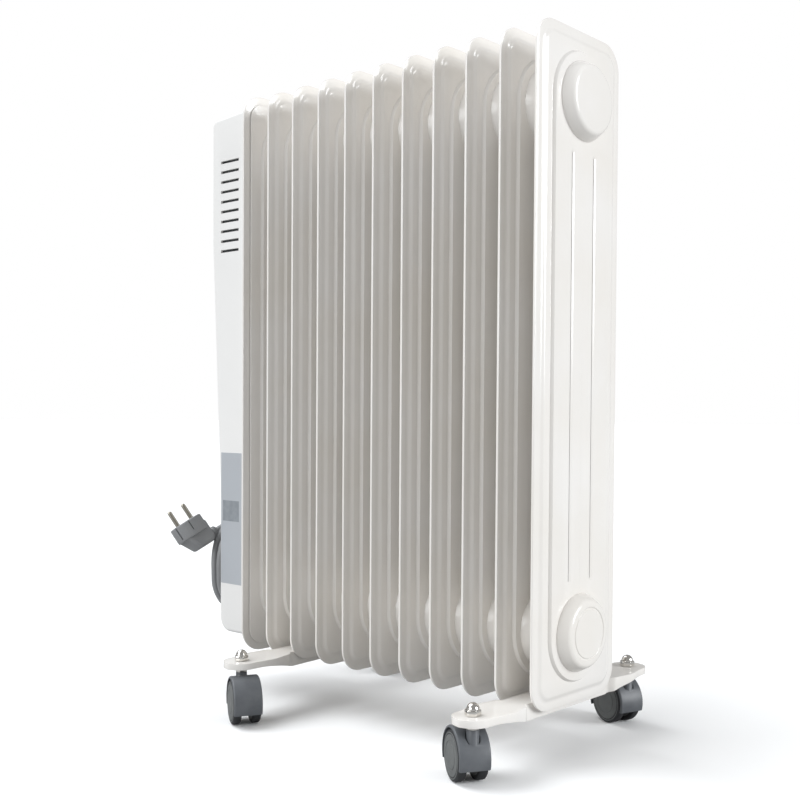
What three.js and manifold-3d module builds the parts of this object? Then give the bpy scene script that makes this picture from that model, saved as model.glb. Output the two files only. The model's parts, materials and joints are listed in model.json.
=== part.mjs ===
// Oil filled radiator heater: a row of welded steel fins, a control box on one end,
// a cord with its plug on a winder, and two foot plates with four twin-wheel casters.
// Millimetres, +Z up, floor at Z = 0. X runs along the row of fins, from the control
// box to the bare end. Y runs across it.
import * as THREE from 'three';
import { mergeVertices } from 'three/addons/utils/BufferGeometryUtils.js';
import Module from 'manifold-3d';

const wasm = await Module();
wasm.setup();

// ---------------------------------------------------------------- driving dimensions
const TOUCH = 0.3;               // gap left between pieces that touch
const RUNNING = 0.25;            // clearance round a turning shaft

const FIN_COUNT = 11;
const FIN_PITCH = 37.2;
const FIN_WIDTH = 125;
const FIN_HEIGHT = 580;
const FIN_BOTTOM = 47.6;         // height of the fins' lower edge above the floor
const FIN_CORNER = 23.5;
const SEAM_HALF = 1.2;           // half thickness of the welded seam round a fin
const SEAM_WIDTH = 6;            // width of that seam, in from the edge
const SLOPE_WIDTH = 6.5;         // soft slope from the seam up to the shoulder
const SHOULDER_HALF = 3.2;       // half thickness at the shoulder
const PANEL_HALF = 5.8;          // half thickness at the raised oil panel
const PANEL_RADIUS = 43.5;       // its round ends, about the headers' centres
const PANEL_WALL = 2.2;          // run of the steep wall round the raised panel
const CHANNEL_Y = 16.4;          // the two pressed grooves between oil channels
const CHANNEL_WIDTH = 7;
const CHANNEL_DEPTH = 1.4;
const CHANNEL_CLEAR = 8;         // from a groove's end to the header's base

const HEADER_BELOW_TOP = 61;
const HEADER_ABOVE_BOTTOM = 62;
const HEADER_FACE_R = 28.8;
const HEADER_BASE_R = 35;
const HEADER_EDGE = 1.4;         // rounding of the header's face
const END_CUP = 16.5;            // how far the last header stands out of its fin
const CUP_RING_R = 22;           // ring pressed in the lower end cup
const CUP_RING_DEPTH = 0.6;

const SHIELD_OVERHANG = 1.7;     // the shield stands out past the fins all round
const SHIELD_THICK = 2.4;
const SHIELD_BAND = 8;           // its flat band, up to the first fin's edge

const BOX_HALF_WIDTH = 58;
const BOX_WALL = 2.5;
const BOX_DEPTH_TOP = 58.5;      // depth of the box over its upper, upright part
const BOX_DEPTH_LOW = 44.5;      // depth at the foot of its tapered part
const BOX_TAPER_TOP = 478;       // the taper runs down from here
const BOX_TAPER_FOOT = 203;      // and ends here
const BOX_TOP = 615;
const BOX_TOP_FALL = 4;          // the top slopes down to its outer edge
const BOX_BOTTOM = 63;
const BOX_ROUND = 15;            // outer bottom corner
const BOX_EDGE = 4;              // rounding of the side edges
const BOX_CORNER = 8;            // outer top corner
const VENT_COUNT = 10;
const VENT_PITCH = 10.48;
const VENT_TOP = 565.3;
const VENT_HEIGHT = 2.3;
const VENT_LENGTH = 29.5;
const VENT_MIDDLE = 28.15;       // depth into the box of the slots' middle

const CONTROL_WIDTH = 84;
const CONTROL_HEIGHT = 104;
const CONTROL_THICK = 3;
const CONTROL_CENTRE = 544;
const CONTROL_CORNER = 10;
const KNOB_R = 21;
const KNOB_DEPTH = 14;
const KNOB_BELOW = 18;           // knob's centre below the panel's centre
const KNOB_GRIPS = 14;
const KNOB_RANGE_LUG = 2.2;      // pointer rib on the knob
const THERMOSTAT_SHAFT_R = 3;
const ROCKER_WIDTH = 13;
const ROCKER_HEIGHT = 21;
const ROCKER_SPACING = 34;
const ROCKER_ABOVE = 30;         // rockers' centre above the panel's centre
const ROCKER_PROUD = 2.4;
const ROCKER_GAP = 0.6;

const PLATE_TOP = 56.9;          // top of the foot plates
const PLATE_THICK = 2;
const PLATE_MID_HALF = 11.8;     // half width where it passes between two fins
const PLATE_MID_REACH = 64;      // |Y| where it starts to widen
const PLATE_WIDE_HALF = 20.5;
const PLATE_WIDE_Y = 90;
const PLATE_TIP_HALF = 17;
const PLATE_TIP_Y = 135;
const PLATE_SKIRT = 14.4;        // depth of its turned-down sides between the fins
const PLATE_TIP_SKIRT = 6;       // and at its tips
const PLATE_DEEP_Y = 60;         // |Y| where the skirt begins to rise
const PLATE_SHALLOW_Y = 104;     // and where it has risen
const STEM_Y = 117.7;            // casters, each side of the middle
const NEAR_PLATE_SHIFT = 2.1;    // from the middle of the last gap between fins
const FAR_PLATE_SHIFT = 1.2;     // from the middle of the second gap
const FAR_PLATE_YAW = 4;         // degrees, the way the far plate sits

const BOLT_R = 3;                // M6 U-bolt
const BOLT_LOOP_R = 32.5;        // its centreline round the lower header
const BOLT_BELOW_PLATE = 9;
const WING_R = 5.4;
const WING_HEIGHT = 5;
const WING_SPAN = 24;

const WHEEL_R = 21;
const WHEEL_INNER = 5.6;         // the wheels' inner face from the caster's middle
const WHEEL_OUTER = 14.2;
const TRAIL = 15.8;              // axle's offset from the swivel stem
const AXLE_R = 3;
const HOOD_R = 24.4;
const HOOD_INNER_R = 22.4;
const HOOD_HALF = 13.5;
const WEB_HALF = 5;
const SOCKET_R = 5.3;
const SOCKET_TOP = 46;
const RECESS_R = 7.6;
const RECESS_FLOOR = 35;
const STEM_R = 4;
const STEM_FOOT = 24;            // the stem's lower end above the floor
const COLLAR_R = 5.4;
const NUT_FLATS = 12;
const NUT_HEIGHT = 10.4;
const CASTER_TRAILS = {          // degrees from +X, the way each caster stands
  near_left: 148,
  near_right: 161,
  far_left: -29,
  far_right: 168,
};

const NECK_R = 27;                // neck of the first lower header, through the shield
const NECK_REACH = 9;
const NECK_GAP = 3;
const FLANGE_R = 24;             // the heater's screwed flange
const FLANGE_THICK = 7;
const OIL_BORE_R = 17;           // bore of the lower header, round the heater
const ELEMENT_R = 4.2;
const ELEMENT_SPACING = 14;
const ELEMENT_LENGTH = 300;
const TERMINAL_DEPTH = 40;       // the block's outer face, out from the shield
const TERMINAL_ABOVE = 34;       // above the lower header's centre
const TERMINAL_Y = 30;
const TERMINAL_WIDTH = 22;
const TERMINAL_PITCH = 11;
const TIP_SWITCH_DEPTH = 30;
const TIP_SWITCH_Y = 50;
const TIP_SWITCH_Z = 198;
const TIP_SWITCH_WIDTH = 24;
const TIP_SWITCH_HEIGHT = 32;
const TIP_SWITCH_RIM = 5;

const CORD_R = 4;
const GLAND_LEAN = 30;           // degrees from upright, the way its relief points
const GLAND_NECK_R = 5;
const GLAND_FLANGE_R = 8;
const GLAND_FLANGE_THICK = 3;
const GLAND_STANDOFF = 10.3;     // from the box's lower face to the relief's middle
const GLAND_RELIEF_R = 7;
const GLAND_RELIEF_TIP_R = 5.2;
const GLAND_RELIEF_LENGTH = 28;
const LEAD_ONTO_HANK = 27.6;     // where the lead meets the hank, up from its first turn
const LEAD_LENGTH = 8;           // the lead's free run from the relief to the hank
const HANK_WIDTH = 100;
const HANK_HEIGHT = 122;
const HANK_BAND = 20;            // thickness of the hank round its open middle
const HANK_DEPTH = 22;
const HANK_CENTRE_Z = 128;
const HANK_STANDOFF = 6;         // from the box's face to the hank
const WINDER_WIDTH = 44;
const WINDER_HEIGHT = 66;
const WINDER_LIP = 6;            // how far its lip reaches over the hank
const WINDER_LIP_THICK = 3;
const PIN_R = 2.4;               // plug pins, 4.8 mm round
const PIN_LENGTH = 19;
const PIN_SPACING = 19;
const PLUG_R = 18.7;
const PLUG_RIM = 18;             // depth of its round front
const PLUG_HALF = 13;            // half thickness of the plug's grip
const PLUG_BACK = 33.6;          // its back end, behind the face
const PLUG_YAW = 40.8;           // degrees, the way the plug lies on its cord
const PLUG_TURN = 33.4;
const PLUG_SWING = 43;
const PLUG_FACE = [-91.4, -69.7, 177];
const RELIEF_R = 7.4;            // the plug's cord relief
const RELIEF_TIP_R = 5;
const RELIEF_LENGTH = 27;
const RELIEF_BEHIND = 26.3;      // its middle, behind the plug's face

const LAMP_R = 3;
const THERMOSTAT_DEPTH = 20;
const THERMOSTAT_HALF = 15;
const ROCKER_BACK = 5;
const HOOD_REAR = -20;           // degrees about the axle, where the hood ends behind
const HOOD_FRONT = 207;          // and in front, below the axle
const HUB_R = 7;
const AXLE_HALF = 9.6;
const STEM_NECK = 0.6;           // the stem is thinner inside its socket
const BOLT_HOLE_R = 3.5;

// ---------------------------------------------------------------- derived places
const FIN_TOP = FIN_BOTTOM + FIN_HEIGHT;
const FIN_MIDDLE = (FIN_TOP + FIN_BOTTOM) / 2;
const HEADER_UPPER = FIN_TOP - HEADER_BELOW_TOP;
const HEADER_LOWER = FIN_BOTTOM + HEADER_ABOVE_BOTTOM;
const HEADERS = [HEADER_LOWER, HEADER_UPPER];
const HEADER_REACH = (FIN_PITCH - TOUCH) / 2;
const LAST_FIN_X = (FIN_COUNT - 1) * FIN_PITCH;
const SHIELD_HALF = SHIELD_THICK / 2;
const FIRST_FIN_BACK = SHIELD_HALF + TOUCH;
const BOX_FRONT = -SHIELD_HALF - TOUCH;
const PANEL_FACE_X = BOX_FRONT - BOX_DEPTH_TOP;
const KNOB_Z = CONTROL_CENTRE - KNOB_BELOW;
const ROCKER_Z = CONTROL_CENTRE + ROCKER_ABOVE;
const BOX_LOW_FACE = BOX_FRONT - BOX_DEPTH_LOW;
const HANK_BACK = BOX_LOW_FACE - HANK_STANDOFF;
const HANK_FRONT = HANK_BACK - HANK_DEPTH;
const HANK_STRAIGHT = (HANK_HEIGHT - HANK_WIDTH) / 2;
const HANK_TURN_R = HANK_WIDTH / 2 - CORD_R;
const NEAR_BOLT_X = (FIN_COUNT - 1.5) * FIN_PITCH;
const FAR_BOLT_X = 1.5 * FIN_PITCH;
const NEAR_PLATE_X = NEAR_BOLT_X + NEAR_PLATE_SHIFT;
const FAR_PLATE_X = FAR_BOLT_X + FAR_PLATE_SHIFT;
const SHAFT_INNER_X = PANEL_FACE_X + BOX_WALL + 12;
const ROCKER_AXIS_X = PANEL_FACE_X - CONTROL_THICK;

/** A point of the lead's straight run, by its distance up from the hank's first turn. */
function leadPoint(up) {
  const lean = THREE.MathUtils.degToRad(GLAND_LEAN);
  const [across, rise] = [Math.sin(lean), Math.cos(lean)];
  return [
    BOX_LOW_FACE - GLAND_STANDOFF,
    -HANK_TURN_R * rise + up * across,
    HANK_CENTRE_Z + HANK_STRAIGHT + HANK_TURN_R * across + up * rise,
  ];
}

const LEAD_ROUTE = [0, LEAD_LENGTH / 2, LEAD_LENGTH].map((run) => {
  return leadPoint(LEAD_ONTO_HANK + LEAD_LENGTH - run);
});
const GLAND_UP = LEAD_ONTO_HANK + LEAD_LENGTH + TOUCH + GLAND_RELIEF_LENGTH;
const [GLAND_X, GLAND_Y, GLAND_Z] = leadPoint(GLAND_UP);

// ---------------------------------------------------------------- materials
const finish = (color, roughness, metalness = 0) =>
  new THREE.MeshStandardMaterial({ color, roughness, metalness });
const whiteEnamel = () => finish(0xf1f1f0, 0.35);
const boxPlastic = () => finish(0xeaeae9, 0.5);
const greyPlastic = () => finish(0x6b6d6f, 0.55);
const capPlastic = () => finish(0x7d7f7e, 0.5);
const cordGrey = () => finish(0x808182, 0.6);
const zincSteel = () => finish(0xb9bbbd, 0.35, 0.9);
const brassPin = () => finish(0xc8c5bd, 0.3, 0.9);
const darkPlastic = () => finish(0x3a3b3d, 0.5);
const signalRed = () => finish(0xb5322a, 0.4);

// ---------------------------------------------------------------- small tools
/** The geometry with its shared corners merged and its empty triangles left out. */
function weld(geometry) {
  const bare = geometry.clone();
  bare.deleteAttribute('normal');
  bare.deleteAttribute('uv');
  const merged = mergeVertices(bare, 1e-4);
  const corners = [];
  const index = merged.index.array;
  for (let i = 0; i < index.length; i += 3) {
    const [a, b, c] = [index[i], index[i + 1], index[i + 2]];
    if (a !== b && b !== c && c !== a) {
      corners.push(a, b, c);
    }
  }
  merged.setIndex(corners);
  return merged;
}

/** A manifold-3d solid of a closed geometry. */
function solid(geometry) {
  const welded = weld(geometry);
  return new wasm.Manifold(new wasm.Mesh({
    numProp: 3,
    vertProperties: new Float32Array(welded.attributes.position.array),
    triVerts: new Uint32Array(welded.index.array),
  }));
}

/** The geometry of a manifold-3d solid. */
function geometryOf(body) {
  const mesh = body.getMesh();
  const geometry = new THREE.BufferGeometry();
  geometry.setAttribute('position', new THREE.BufferAttribute(mesh.vertProperties, 3));
  geometry.setIndex(new THREE.BufferAttribute(mesh.triVerts, 1));
  geometry.computeVertexNormals();
  return geometry;
}

/** Joins the geometries of one list, then cuts those of the other out of them. */
function carve(joined, removed = []) {
  let body = solid(joined[0]);
  for (const extra of joined.slice(1)) {
    body = body.add(solid(extra));
  }
  for (const tool of removed) {
    body = body.subtract(solid(tool));
  }
  return geometryOf(body);
}

/** A rectangle with round corners, about the origin. */
function roundRect(width, height, radius) {
  const [x, y] = [width / 2 - radius, height / 2 - radius];
  const shape = new THREE.Shape();
  shape.absarc(x, y, radius, 0, Math.PI / 2);
  shape.absarc(-x, y, radius, Math.PI / 2, Math.PI);
  shape.absarc(-x, -y, radius, Math.PI, 1.5 * Math.PI);
  shape.absarc(x, -y, radius, 1.5 * Math.PI, 2 * Math.PI);
  shape.closePath();
  return shape;
}

/** An upright slot outline with round ends, from one height to another. */
function slotOutline(radius, low, high) {
  const shape = new THREE.Shape();
  shape.absarc(0, high, radius, 0, Math.PI);
  shape.absarc(0, low, radius, Math.PI, 2 * Math.PI);
  shape.closePath();
  return shape;
}

/**
 * A plate whose outline lies in the Y-Z plane and whose thickness runs along X, between
 * two places. Its faces are drawn in by a bevel of the given run and rise.
 */
function alongX(shape, from, to, { run = 0, rise = 0, segments = 1, curve = 3 } = {}) {
  const geometry = new THREE.ExtrudeGeometry(shape, {
    depth: to - from - 2 * rise,
    bevelEnabled: run > 0,
    bevelSize: run,
    bevelOffset: -run,
    bevelThickness: rise,
    bevelSegments: segments,
    curveSegments: curve,
  });
  geometry.translate(0, 0, from + rise);
  geometry.rotateY(Math.PI / 2);
  geometry.rotateX(Math.PI / 2);
  return geometry;
}

/** An upright plate: its outline lies in X-Y, and it runs from one height to another. */
function upright(shape, from, to, { run = 0, rise = 0, curve = 3 } = {}) {
  const geometry = new THREE.ExtrudeGeometry(shape, {
    depth: to - from - 2 * rise,
    bevelEnabled: run > 0,
    bevelSize: run,
    bevelOffset: -run,
    bevelThickness: rise,
    bevelSegments: 1,
    curveSegments: curve,
  });
  geometry.translate(0, 0, from + rise);
  return geometry;
}

/** A turned piece from (radius, height) pairs, standing along +Z. */
function turned(profile, segments = 16) {
  const points = profile.map(([r, h]) => new THREE.Vector2(r, h));
  const geometry = new THREE.LatheGeometry(points, segments);
  geometry.rotateX(Math.PI / 2);
  return geometry;
}

/** A turned piece along +X. */
function turnedX(profile, segments) {
  return turned(profile, segments).rotateY(Math.PI / 2);
}

/** A plain rod along +Z between two heights. */
function rod(radius, from, to, segments = 16) {
  return turned([[0, from], [radius, from], [radius, to], [0, to]], segments);
}

/** A block by its two opposite corners. */
function block(low, high) {
  const size = high.map((value, i) => value - low[i]);
  const geometry = new THREE.BoxGeometry(...size);
  return geometry.translate(...low.map((value, i) => value + size[i] / 2));
}

const group = new THREE.Group();
const shell = new THREE.Group();
group.add(shell);

/** Adds one named piece to a parent group. */
function add(name, geometry, material, parent = shell) {
  const mesh = new THREE.Mesh(geometry, material);
  mesh.name = name;
  parent.add(mesh);
  return mesh;
}

// ---------------------------------------------------------------- fins
/** Fin outline drawn in by an inset, about the middle of the fin. */
function finOutline(inset) {
  const radius = FIN_CORNER - inset;
  return roundRect(FIN_WIDTH - 2 * inset, FIN_HEIGHT - 2 * inset, radius);
}

/** One header boss of a fin, from its back face to its front face or its closed cup. */
function header(height, back, cup = false) {
  const front = cup
    ? [[HEADER_FACE_R, END_CUP - HEADER_EDGE], [HEADER_FACE_R - HEADER_EDGE, END_CUP], [0, END_CUP]]
    : [[HEADER_FACE_R, HEADER_REACH], [0, HEADER_REACH]];
  const profile = [
    [0, back],
    [HEADER_FACE_R, back],
    [HEADER_BASE_R, -PANEL_HALF],
    [HEADER_BASE_R, PANEL_HALF],
    ...front,
  ];
  return turnedX(profile, cup ? 24 : 16).translate(0, 0, height);
}

/** One pressed groove between oil channels, on one face of the fin. */
function channelGroove(side, y) {
  const low = HEADER_LOWER + HEADER_BASE_R + CHANNEL_CLEAR;
  const high = HEADER_UPPER - HEADER_BASE_R - CHANNEL_CLEAR;
  const outline = slotOutline(CHANNEL_WIDTH / 2, low, high);
  const [floor, mouth] = [PANEL_HALF - CHANNEL_DEPTH, PANEL_HALF + 2 * CHANNEL_DEPTH];
  const groove = alongX(outline, floor, mouth, { run: CHANNEL_WIDTH / 4, rise: 2, curve: 1 });
  if (side < 0) {
    groove.rotateZ(Math.PI);
  }
  return groove.translate(0, y, 0);
}

/** The bare fin: seam, soft slope to the shoulder, steep wall to the oil panel. */
function finBody(cup = false) {
  const centred = (geometry) => geometry.translate(0, 0, FIN_MIDDLE);
  const seam = alongX(finOutline(0), -SEAM_HALF, SEAM_HALF, { curve: 2 });
  const shoulder = alongX(finOutline(SEAM_WIDTH), -SHOULDER_HALF, SHOULDER_HALF, {
    run: SLOPE_WIDTH,
    rise: SHOULDER_HALF - SEAM_HALF,
    curve: 2,
  });
  const panel = alongX(
    slotOutline(PANEL_RADIUS, HEADER_LOWER, HEADER_UPPER),
    -PANEL_HALF,
    PANEL_HALF,
    { run: PANEL_WALL, rise: PANEL_HALF - SHOULDER_HALF, curve: 5 },
  );
  const headers = HEADERS.map((height) => header(height, -HEADER_REACH, cup));
  return [centred(seam), centred(shoulder), panel, ...headers];
}

/** The bore of the lower header, that the heater lies in. */
function oilBore() {
  return turnedX([
    [0, -FIN_PITCH],
    [OIL_BORE_R, -FIN_PITCH],
    [OIL_BORE_R, FIN_PITCH],
    [0, FIN_PITCH],
  ], 10).translate(0, 0, HEADER_LOWER);
}

/** All the grooves of one fin. */
function grooves(sides) {
  const list = [];
  for (const side of sides) {
    for (const y of [-CHANNEL_Y, CHANNEL_Y]) {
      list.push(channelGroove(side, y));
    }
  }
  return list;
}

/** A ring pressed in the face of the lower end cup. */
function cupRing() {
  const [inner, outer] = [CUP_RING_R - 1, CUP_RING_R + 1];
  const floor = END_CUP - CUP_RING_DEPTH;
  const mouth = END_CUP + 1;
  const profile = [[inner, floor], [outer, floor], [outer, mouth], [inner, mouth], [inner, floor]];
  return turnedX(profile, 24).translate(0, 0, HEADER_LOWER);
}

/** The first fin lies flat on the shield, so its back is planed off behind the seam. */
function firstFin() {
  const inset = SHIELD_BAND - SHIELD_OVERHANG;
  const outline = finOutline(inset);
  const slab = alongX(outline, FIRST_FIN_BACK, SHOULDER_HALF, { run: 1.2, rise: 0.6 });
  slab.translate(0, 0, FIN_MIDDLE);
  const behind = block([-FIN_PITCH, -FIN_WIDTH, 0], [FIRST_FIN_BACK, FIN_WIDTH, 2 * FIN_HEIGHT]);
  const [, , panel, ...headers] = finBody();
  const neck = turnedX([
    [0, -NECK_REACH],
    [NECK_R, -NECK_REACH],
    [NECK_R, PANEL_HALF],
    [0, PANEL_HALF],
  ], 24).translate(0, 0, HEADER_LOWER);
  const front = solid(panel).add(solid(headers[0])).add(solid(headers[1]));
  const trimmed = front.subtract(solid(behind)).add(solid(slab)).add(solid(neck));
  let body = trimmed;
  for (const tool of [...grooves([1]), oilBore()]) {
    body = body.subtract(solid(tool));
  }
  return geometryOf(body);
}

function addFins() {
  const middle = carve(finBody(), [...grooves([-1, 1]), oilBore()]);
  const last = carve(finBody(true), [...grooves([-1, 1]), cupRing()]);
  add('fin_01', firstFin(), whiteEnamel());
  for (let i = 1; i < FIN_COUNT; i += 1) {
    const geometry = i === FIN_COUNT - 1 ? last : middle;
    const fin = add(`fin_${String(i + 1).padStart(2, '0')}`, geometry, whiteEnamel());
    fin.position.x = i * FIN_PITCH;
  }
}

// ---------------------------------------------------------------- shield and box
/** The sheet between the first fin and the control box, with a hole for the heater. */
function addShield() {
  const width = FIN_WIDTH + 2 * SHIELD_OVERHANG;
  const height = FIN_HEIGHT + 2 * SHIELD_OVERHANG;
  const outline = roundRect(width, height, FIN_CORNER + SHIELD_OVERHANG);
  const plate = alongX(outline, -SHIELD_HALF, SHIELD_HALF, { run: 0.6, rise: 0.4 });
  const hole = turnedX([
    [0, -FIN_PITCH],
    [NECK_R + NECK_GAP, -FIN_PITCH],
    [NECK_R + NECK_GAP, FIN_PITCH],
    [0, FIN_PITCH],
  ], 24).translate(0, 0, HEADER_LOWER);
  add('rear_shield', carve([plate.translate(0, 0, FIN_MIDDLE)], [hole]), boxPlastic());
}

/** The box's side outline (X, Z), its wall thickness drawn in by an inset. */
function boxOutline(inset, front) {
  const top = BOX_TOP - inset;
  const outer = PANEL_FACE_X + inset;
  const low = BOX_FRONT - BOX_DEPTH_LOW + inset;
  const bottom = BOX_BOTTOM + inset;
  const round = BOX_ROUND - inset;
  const shape = new THREE.Shape();
  shape.moveTo(front, bottom);
  shape.lineTo(front, top);
  shape.lineTo(outer + BOX_CORNER, top - BOX_TOP_FALL);
  shape.quadraticCurveTo(outer, top - BOX_TOP_FALL, outer, top - BOX_TOP_FALL - BOX_CORNER);
  shape.lineTo(outer, BOX_TAPER_TOP);
  shape.lineTo(low, BOX_TAPER_FOOT);
  shape.lineTo(low, bottom + round);
  shape.absarc(low + round, bottom + round, round, Math.PI, 1.5 * Math.PI);
  shape.closePath();
  return shape;
}

/** A side outline (X, Z) swept across the box between -half and half, edges rounded. */
function acrossBox(shape, half, round) {
  const geometry = new THREE.ExtrudeGeometry(shape, {
    depth: 2 * (half - round),
    bevelEnabled: round > 0,
    bevelSize: round,
    bevelOffset: -round,
    bevelThickness: round,
    bevelSegments: 3,
    curveSegments: 5,
  });
  geometry.translate(0, 0, round - half);
  return geometry.rotateX(Math.PI / 2);
}

/** The vent slots of one side of the box. */
function ventSlots(side) {
  const slots = [];
  const depth = BOX_WALL + 2 * BOX_EDGE;
  for (let i = 0; i < VENT_COUNT; i += 1) {
    const top = VENT_TOP - i * VENT_PITCH;
    const middle = BOX_FRONT - VENT_MIDDLE;
    const edge = side * (BOX_HALF_WIDTH - BOX_WALL - BOX_EDGE);
    const [y1, y2] = [edge, edge + side * depth].sort((a, b) => a - b);
    slots.push(block(
      [middle - VENT_LENGTH / 2, y1, top - VENT_HEIGHT],
      [middle + VENT_LENGTH / 2, y2, top],
    ));
  }
  return slots;
}

/** A short bar through the box's outer face, for a shaft or a switch. */
function faceOpening(half, height, z, y = 0) {
  return block(
    [PANEL_FACE_X - CONTROL_THICK - 1, y - half, z - height / 2],
    [PANEL_FACE_X + 2 * BOX_WALL, y + half, z + height / 2],
  );
}

/** Openings for the two rocker switches, drawn out by a clearance. */
const rockerOpenings = (clear) => [-1, 1].map((side) => faceOpening(
  ROCKER_WIDTH / 2 + clear,
  ROCKER_HEIGHT + 2 * clear,
  ROCKER_Z,
  side * ROCKER_SPACING / 2,
));

/** The round hole that the thermostat's shaft comes out of. */
function shaftHole(radius) {
  const [from, to] = [PANEL_FACE_X - CONTROL_THICK - 1, PANEL_FACE_X + 2 * BOX_WALL];
  return turnedX([[0, from], [radius, from], [radius, to], [0, to]], 16).translate(0, 0, KNOB_Z);
}

/** The hole in the box's lower face that the cord's gland sits in. */
function glandHole(radius) {
  const face = BOX_FRONT - BOX_DEPTH_LOW;
  const [from, to] = [face - 2 * BOX_WALL, face + 2 * BOX_WALL];
  const hole = turnedX([[0, from], [radius, from], [radius, to], [0, to]], 16);
  return hole.translate(0, GLAND_Y, GLAND_Z);
}

function addControlBox() {
  const outer = acrossBox(boxOutline(0, BOX_FRONT), BOX_HALF_WIDTH, BOX_EDGE);
  const inner = acrossBox(boxOutline(BOX_WALL, 0), BOX_HALF_WIDTH - BOX_WALL, 0);
  const front = block([BOX_FRONT, -FIN_WIDTH, 0], [FIN_PITCH, FIN_WIDTH, 2 * FIN_HEIGHT]);
  const box = carve([outer], [
    inner,
    front,
    ...ventSlots(-1),
    ...ventSlots(1),
    ...rockerOpenings(1.5),
    shaftHole(THERMOSTAT_SHAFT_R + 1.5),
    lampHole(LAMP_R + 1),
    glandHole(GLAND_NECK_R + TOUCH),
  ]);
  add('control_box', box, boxPlastic());
}

// ---------------------------------------------------------------- controls
/** The control panel, with its raised rim, and openings for the controls. */
function addControlPanel() {
  const outline = roundRect(CONTROL_WIDTH, CONTROL_HEIGHT, CONTROL_CORNER);
  const back = PANEL_FACE_X - TOUCH;
  const plate = alongX(outline, back - CONTROL_THICK, back, { run: 1, rise: 0.8 });
  plate.translate(0, 0, CONTROL_CENTRE);
  const panel = carve([plate], [
    ...rockerOpenings(ROCKER_GAP),
    shaftHole(THERMOSTAT_SHAFT_R + 1),
    lampHole(LAMP_R + RUNNING),
  ]);
  add('control_panel', panel, greyPlastic());
}

const lampHole = (radius) => turnedX([
  [0, PANEL_FACE_X - CONTROL_THICK - 2],
  [radius, PANEL_FACE_X - CONTROL_THICK - 2],
  [radius, PANEL_FACE_X + 2 * BOX_WALL],
  [0, PANEL_FACE_X + 2 * BOX_WALL],
], 12).translate(0, 0, ROCKER_Z);

/** The knob: a cup with grip ribs, a pointer and a socket for its shaft. */
function addKnob() {
  const face = PANEL_FACE_X - TOUCH - CONTROL_THICK;
  const near = face - 2 * TOUCH;
  const outer = near - KNOB_DEPTH;
  const body = turnedX([
    [0, outer],
    [KNOB_R - 4, outer],
    [KNOB_R - 2.5, outer + 1.5],
    [KNOB_R - 1.2, near],
    [0, near],
  ], KNOB_GRIPS * 2);
  const ribs = [];
  for (let i = 0; i < KNOB_GRIPS; i += 1) {
    const rib = block([outer + 2.5, KNOB_R - 3.4, -0.8], [near, KNOB_R, 0.8]);
    ribs.push(rib.rotateX((i * 2 * Math.PI) / KNOB_GRIPS));
  }
  const half = KNOB_RANGE_LUG / 2;
  const pointer = block([outer - 1, -half, 4], [outer + 2, half, KNOB_R - 4.5]);
  const hollow = turnedX([
    [THERMOSTAT_SHAFT_R + 3, outer + 3],
    [KNOB_R - 5, outer + 3],
    [KNOB_R - 4.2, near + 1],
    [THERMOSTAT_SHAFT_R + 3, near + 1],
    [THERMOSTAT_SHAFT_R + 3, outer + 3],
  ], 24);
  const socket = turnedX([
    [0, outer + 4],
    [THERMOSTAT_SHAFT_R + TOUCH, outer + 4],
    [THERMOSTAT_SHAFT_R + TOUCH, near + 1],
    [0, near + 1],
  ], 12);
  const knob = carve([body, ...ribs, pointer], [hollow, socket]);
  add('thermostat_knob', knob.translate(0, 0, KNOB_Z), darkPlastic());
  const shaft = turnedX([
    [0, outer + 4 + TOUCH],
    [THERMOSTAT_SHAFT_R, outer + 4 + TOUCH],
    [THERMOSTAT_SHAFT_R, SHAFT_INNER_X],
    [0, SHAFT_INNER_X],
  ], 12);
  add('thermostat_shaft', shaft.translate(0, 0, KNOB_Z), zincSteel());
}

/** The thermostat behind the wall, its shaft running in a nose. */
function addThermostat() {
  const front = PANEL_FACE_X + BOX_WALL + TOUCH;
  const half = THERMOSTAT_HALF;
  const body = block([front, -half, -half * 0.8], [front + THERMOSTAT_DEPTH, half, half * 0.8]);
  const tab = block([front + 5, -2, -half * 0.8 - 6], [front + 6.5, 2, -half * 0.8 + 1]);
  const bore = turnedX([
    [0, front - 1],
    [THERMOSTAT_SHAFT_R + RUNNING, front - 1],
    [THERMOSTAT_SHAFT_R + RUNNING, SHAFT_INNER_X + RUNNING],
    [0, SHAFT_INNER_X + RUNNING],
  ], 12);
  const thermostat = carve([body, tab], [bore]);
  add('thermostat_body', thermostat.translate(0, 0, KNOB_Z), darkPlastic());
}

/** A rocker: a shallow V seen from the side, so one end stands proud. */
function rocker() {
  const half = ROCKER_HEIGHT / 2;
  const back = ROCKER_BACK;
  const shape = new THREE.Shape();
  shape.moveTo(back, -half + 5);
  shape.lineTo(back, half - 5);
  shape.lineTo(-1, half);
  shape.lineTo(-ROCKER_PROUD - 1, half);
  shape.lineTo(-ROCKER_PROUD / 2, 0);
  shape.lineTo(-ROCKER_PROUD / 2 + 0.8, -half);
  shape.lineTo(1, -half);
  shape.closePath();
  const geometry = new THREE.ExtrudeGeometry(shape, {
    depth: ROCKER_WIDTH,
    bevelEnabled: false,
  });
  return geometry.translate(0, 0, -ROCKER_WIDTH / 2).rotateX(Math.PI / 2);
}

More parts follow.
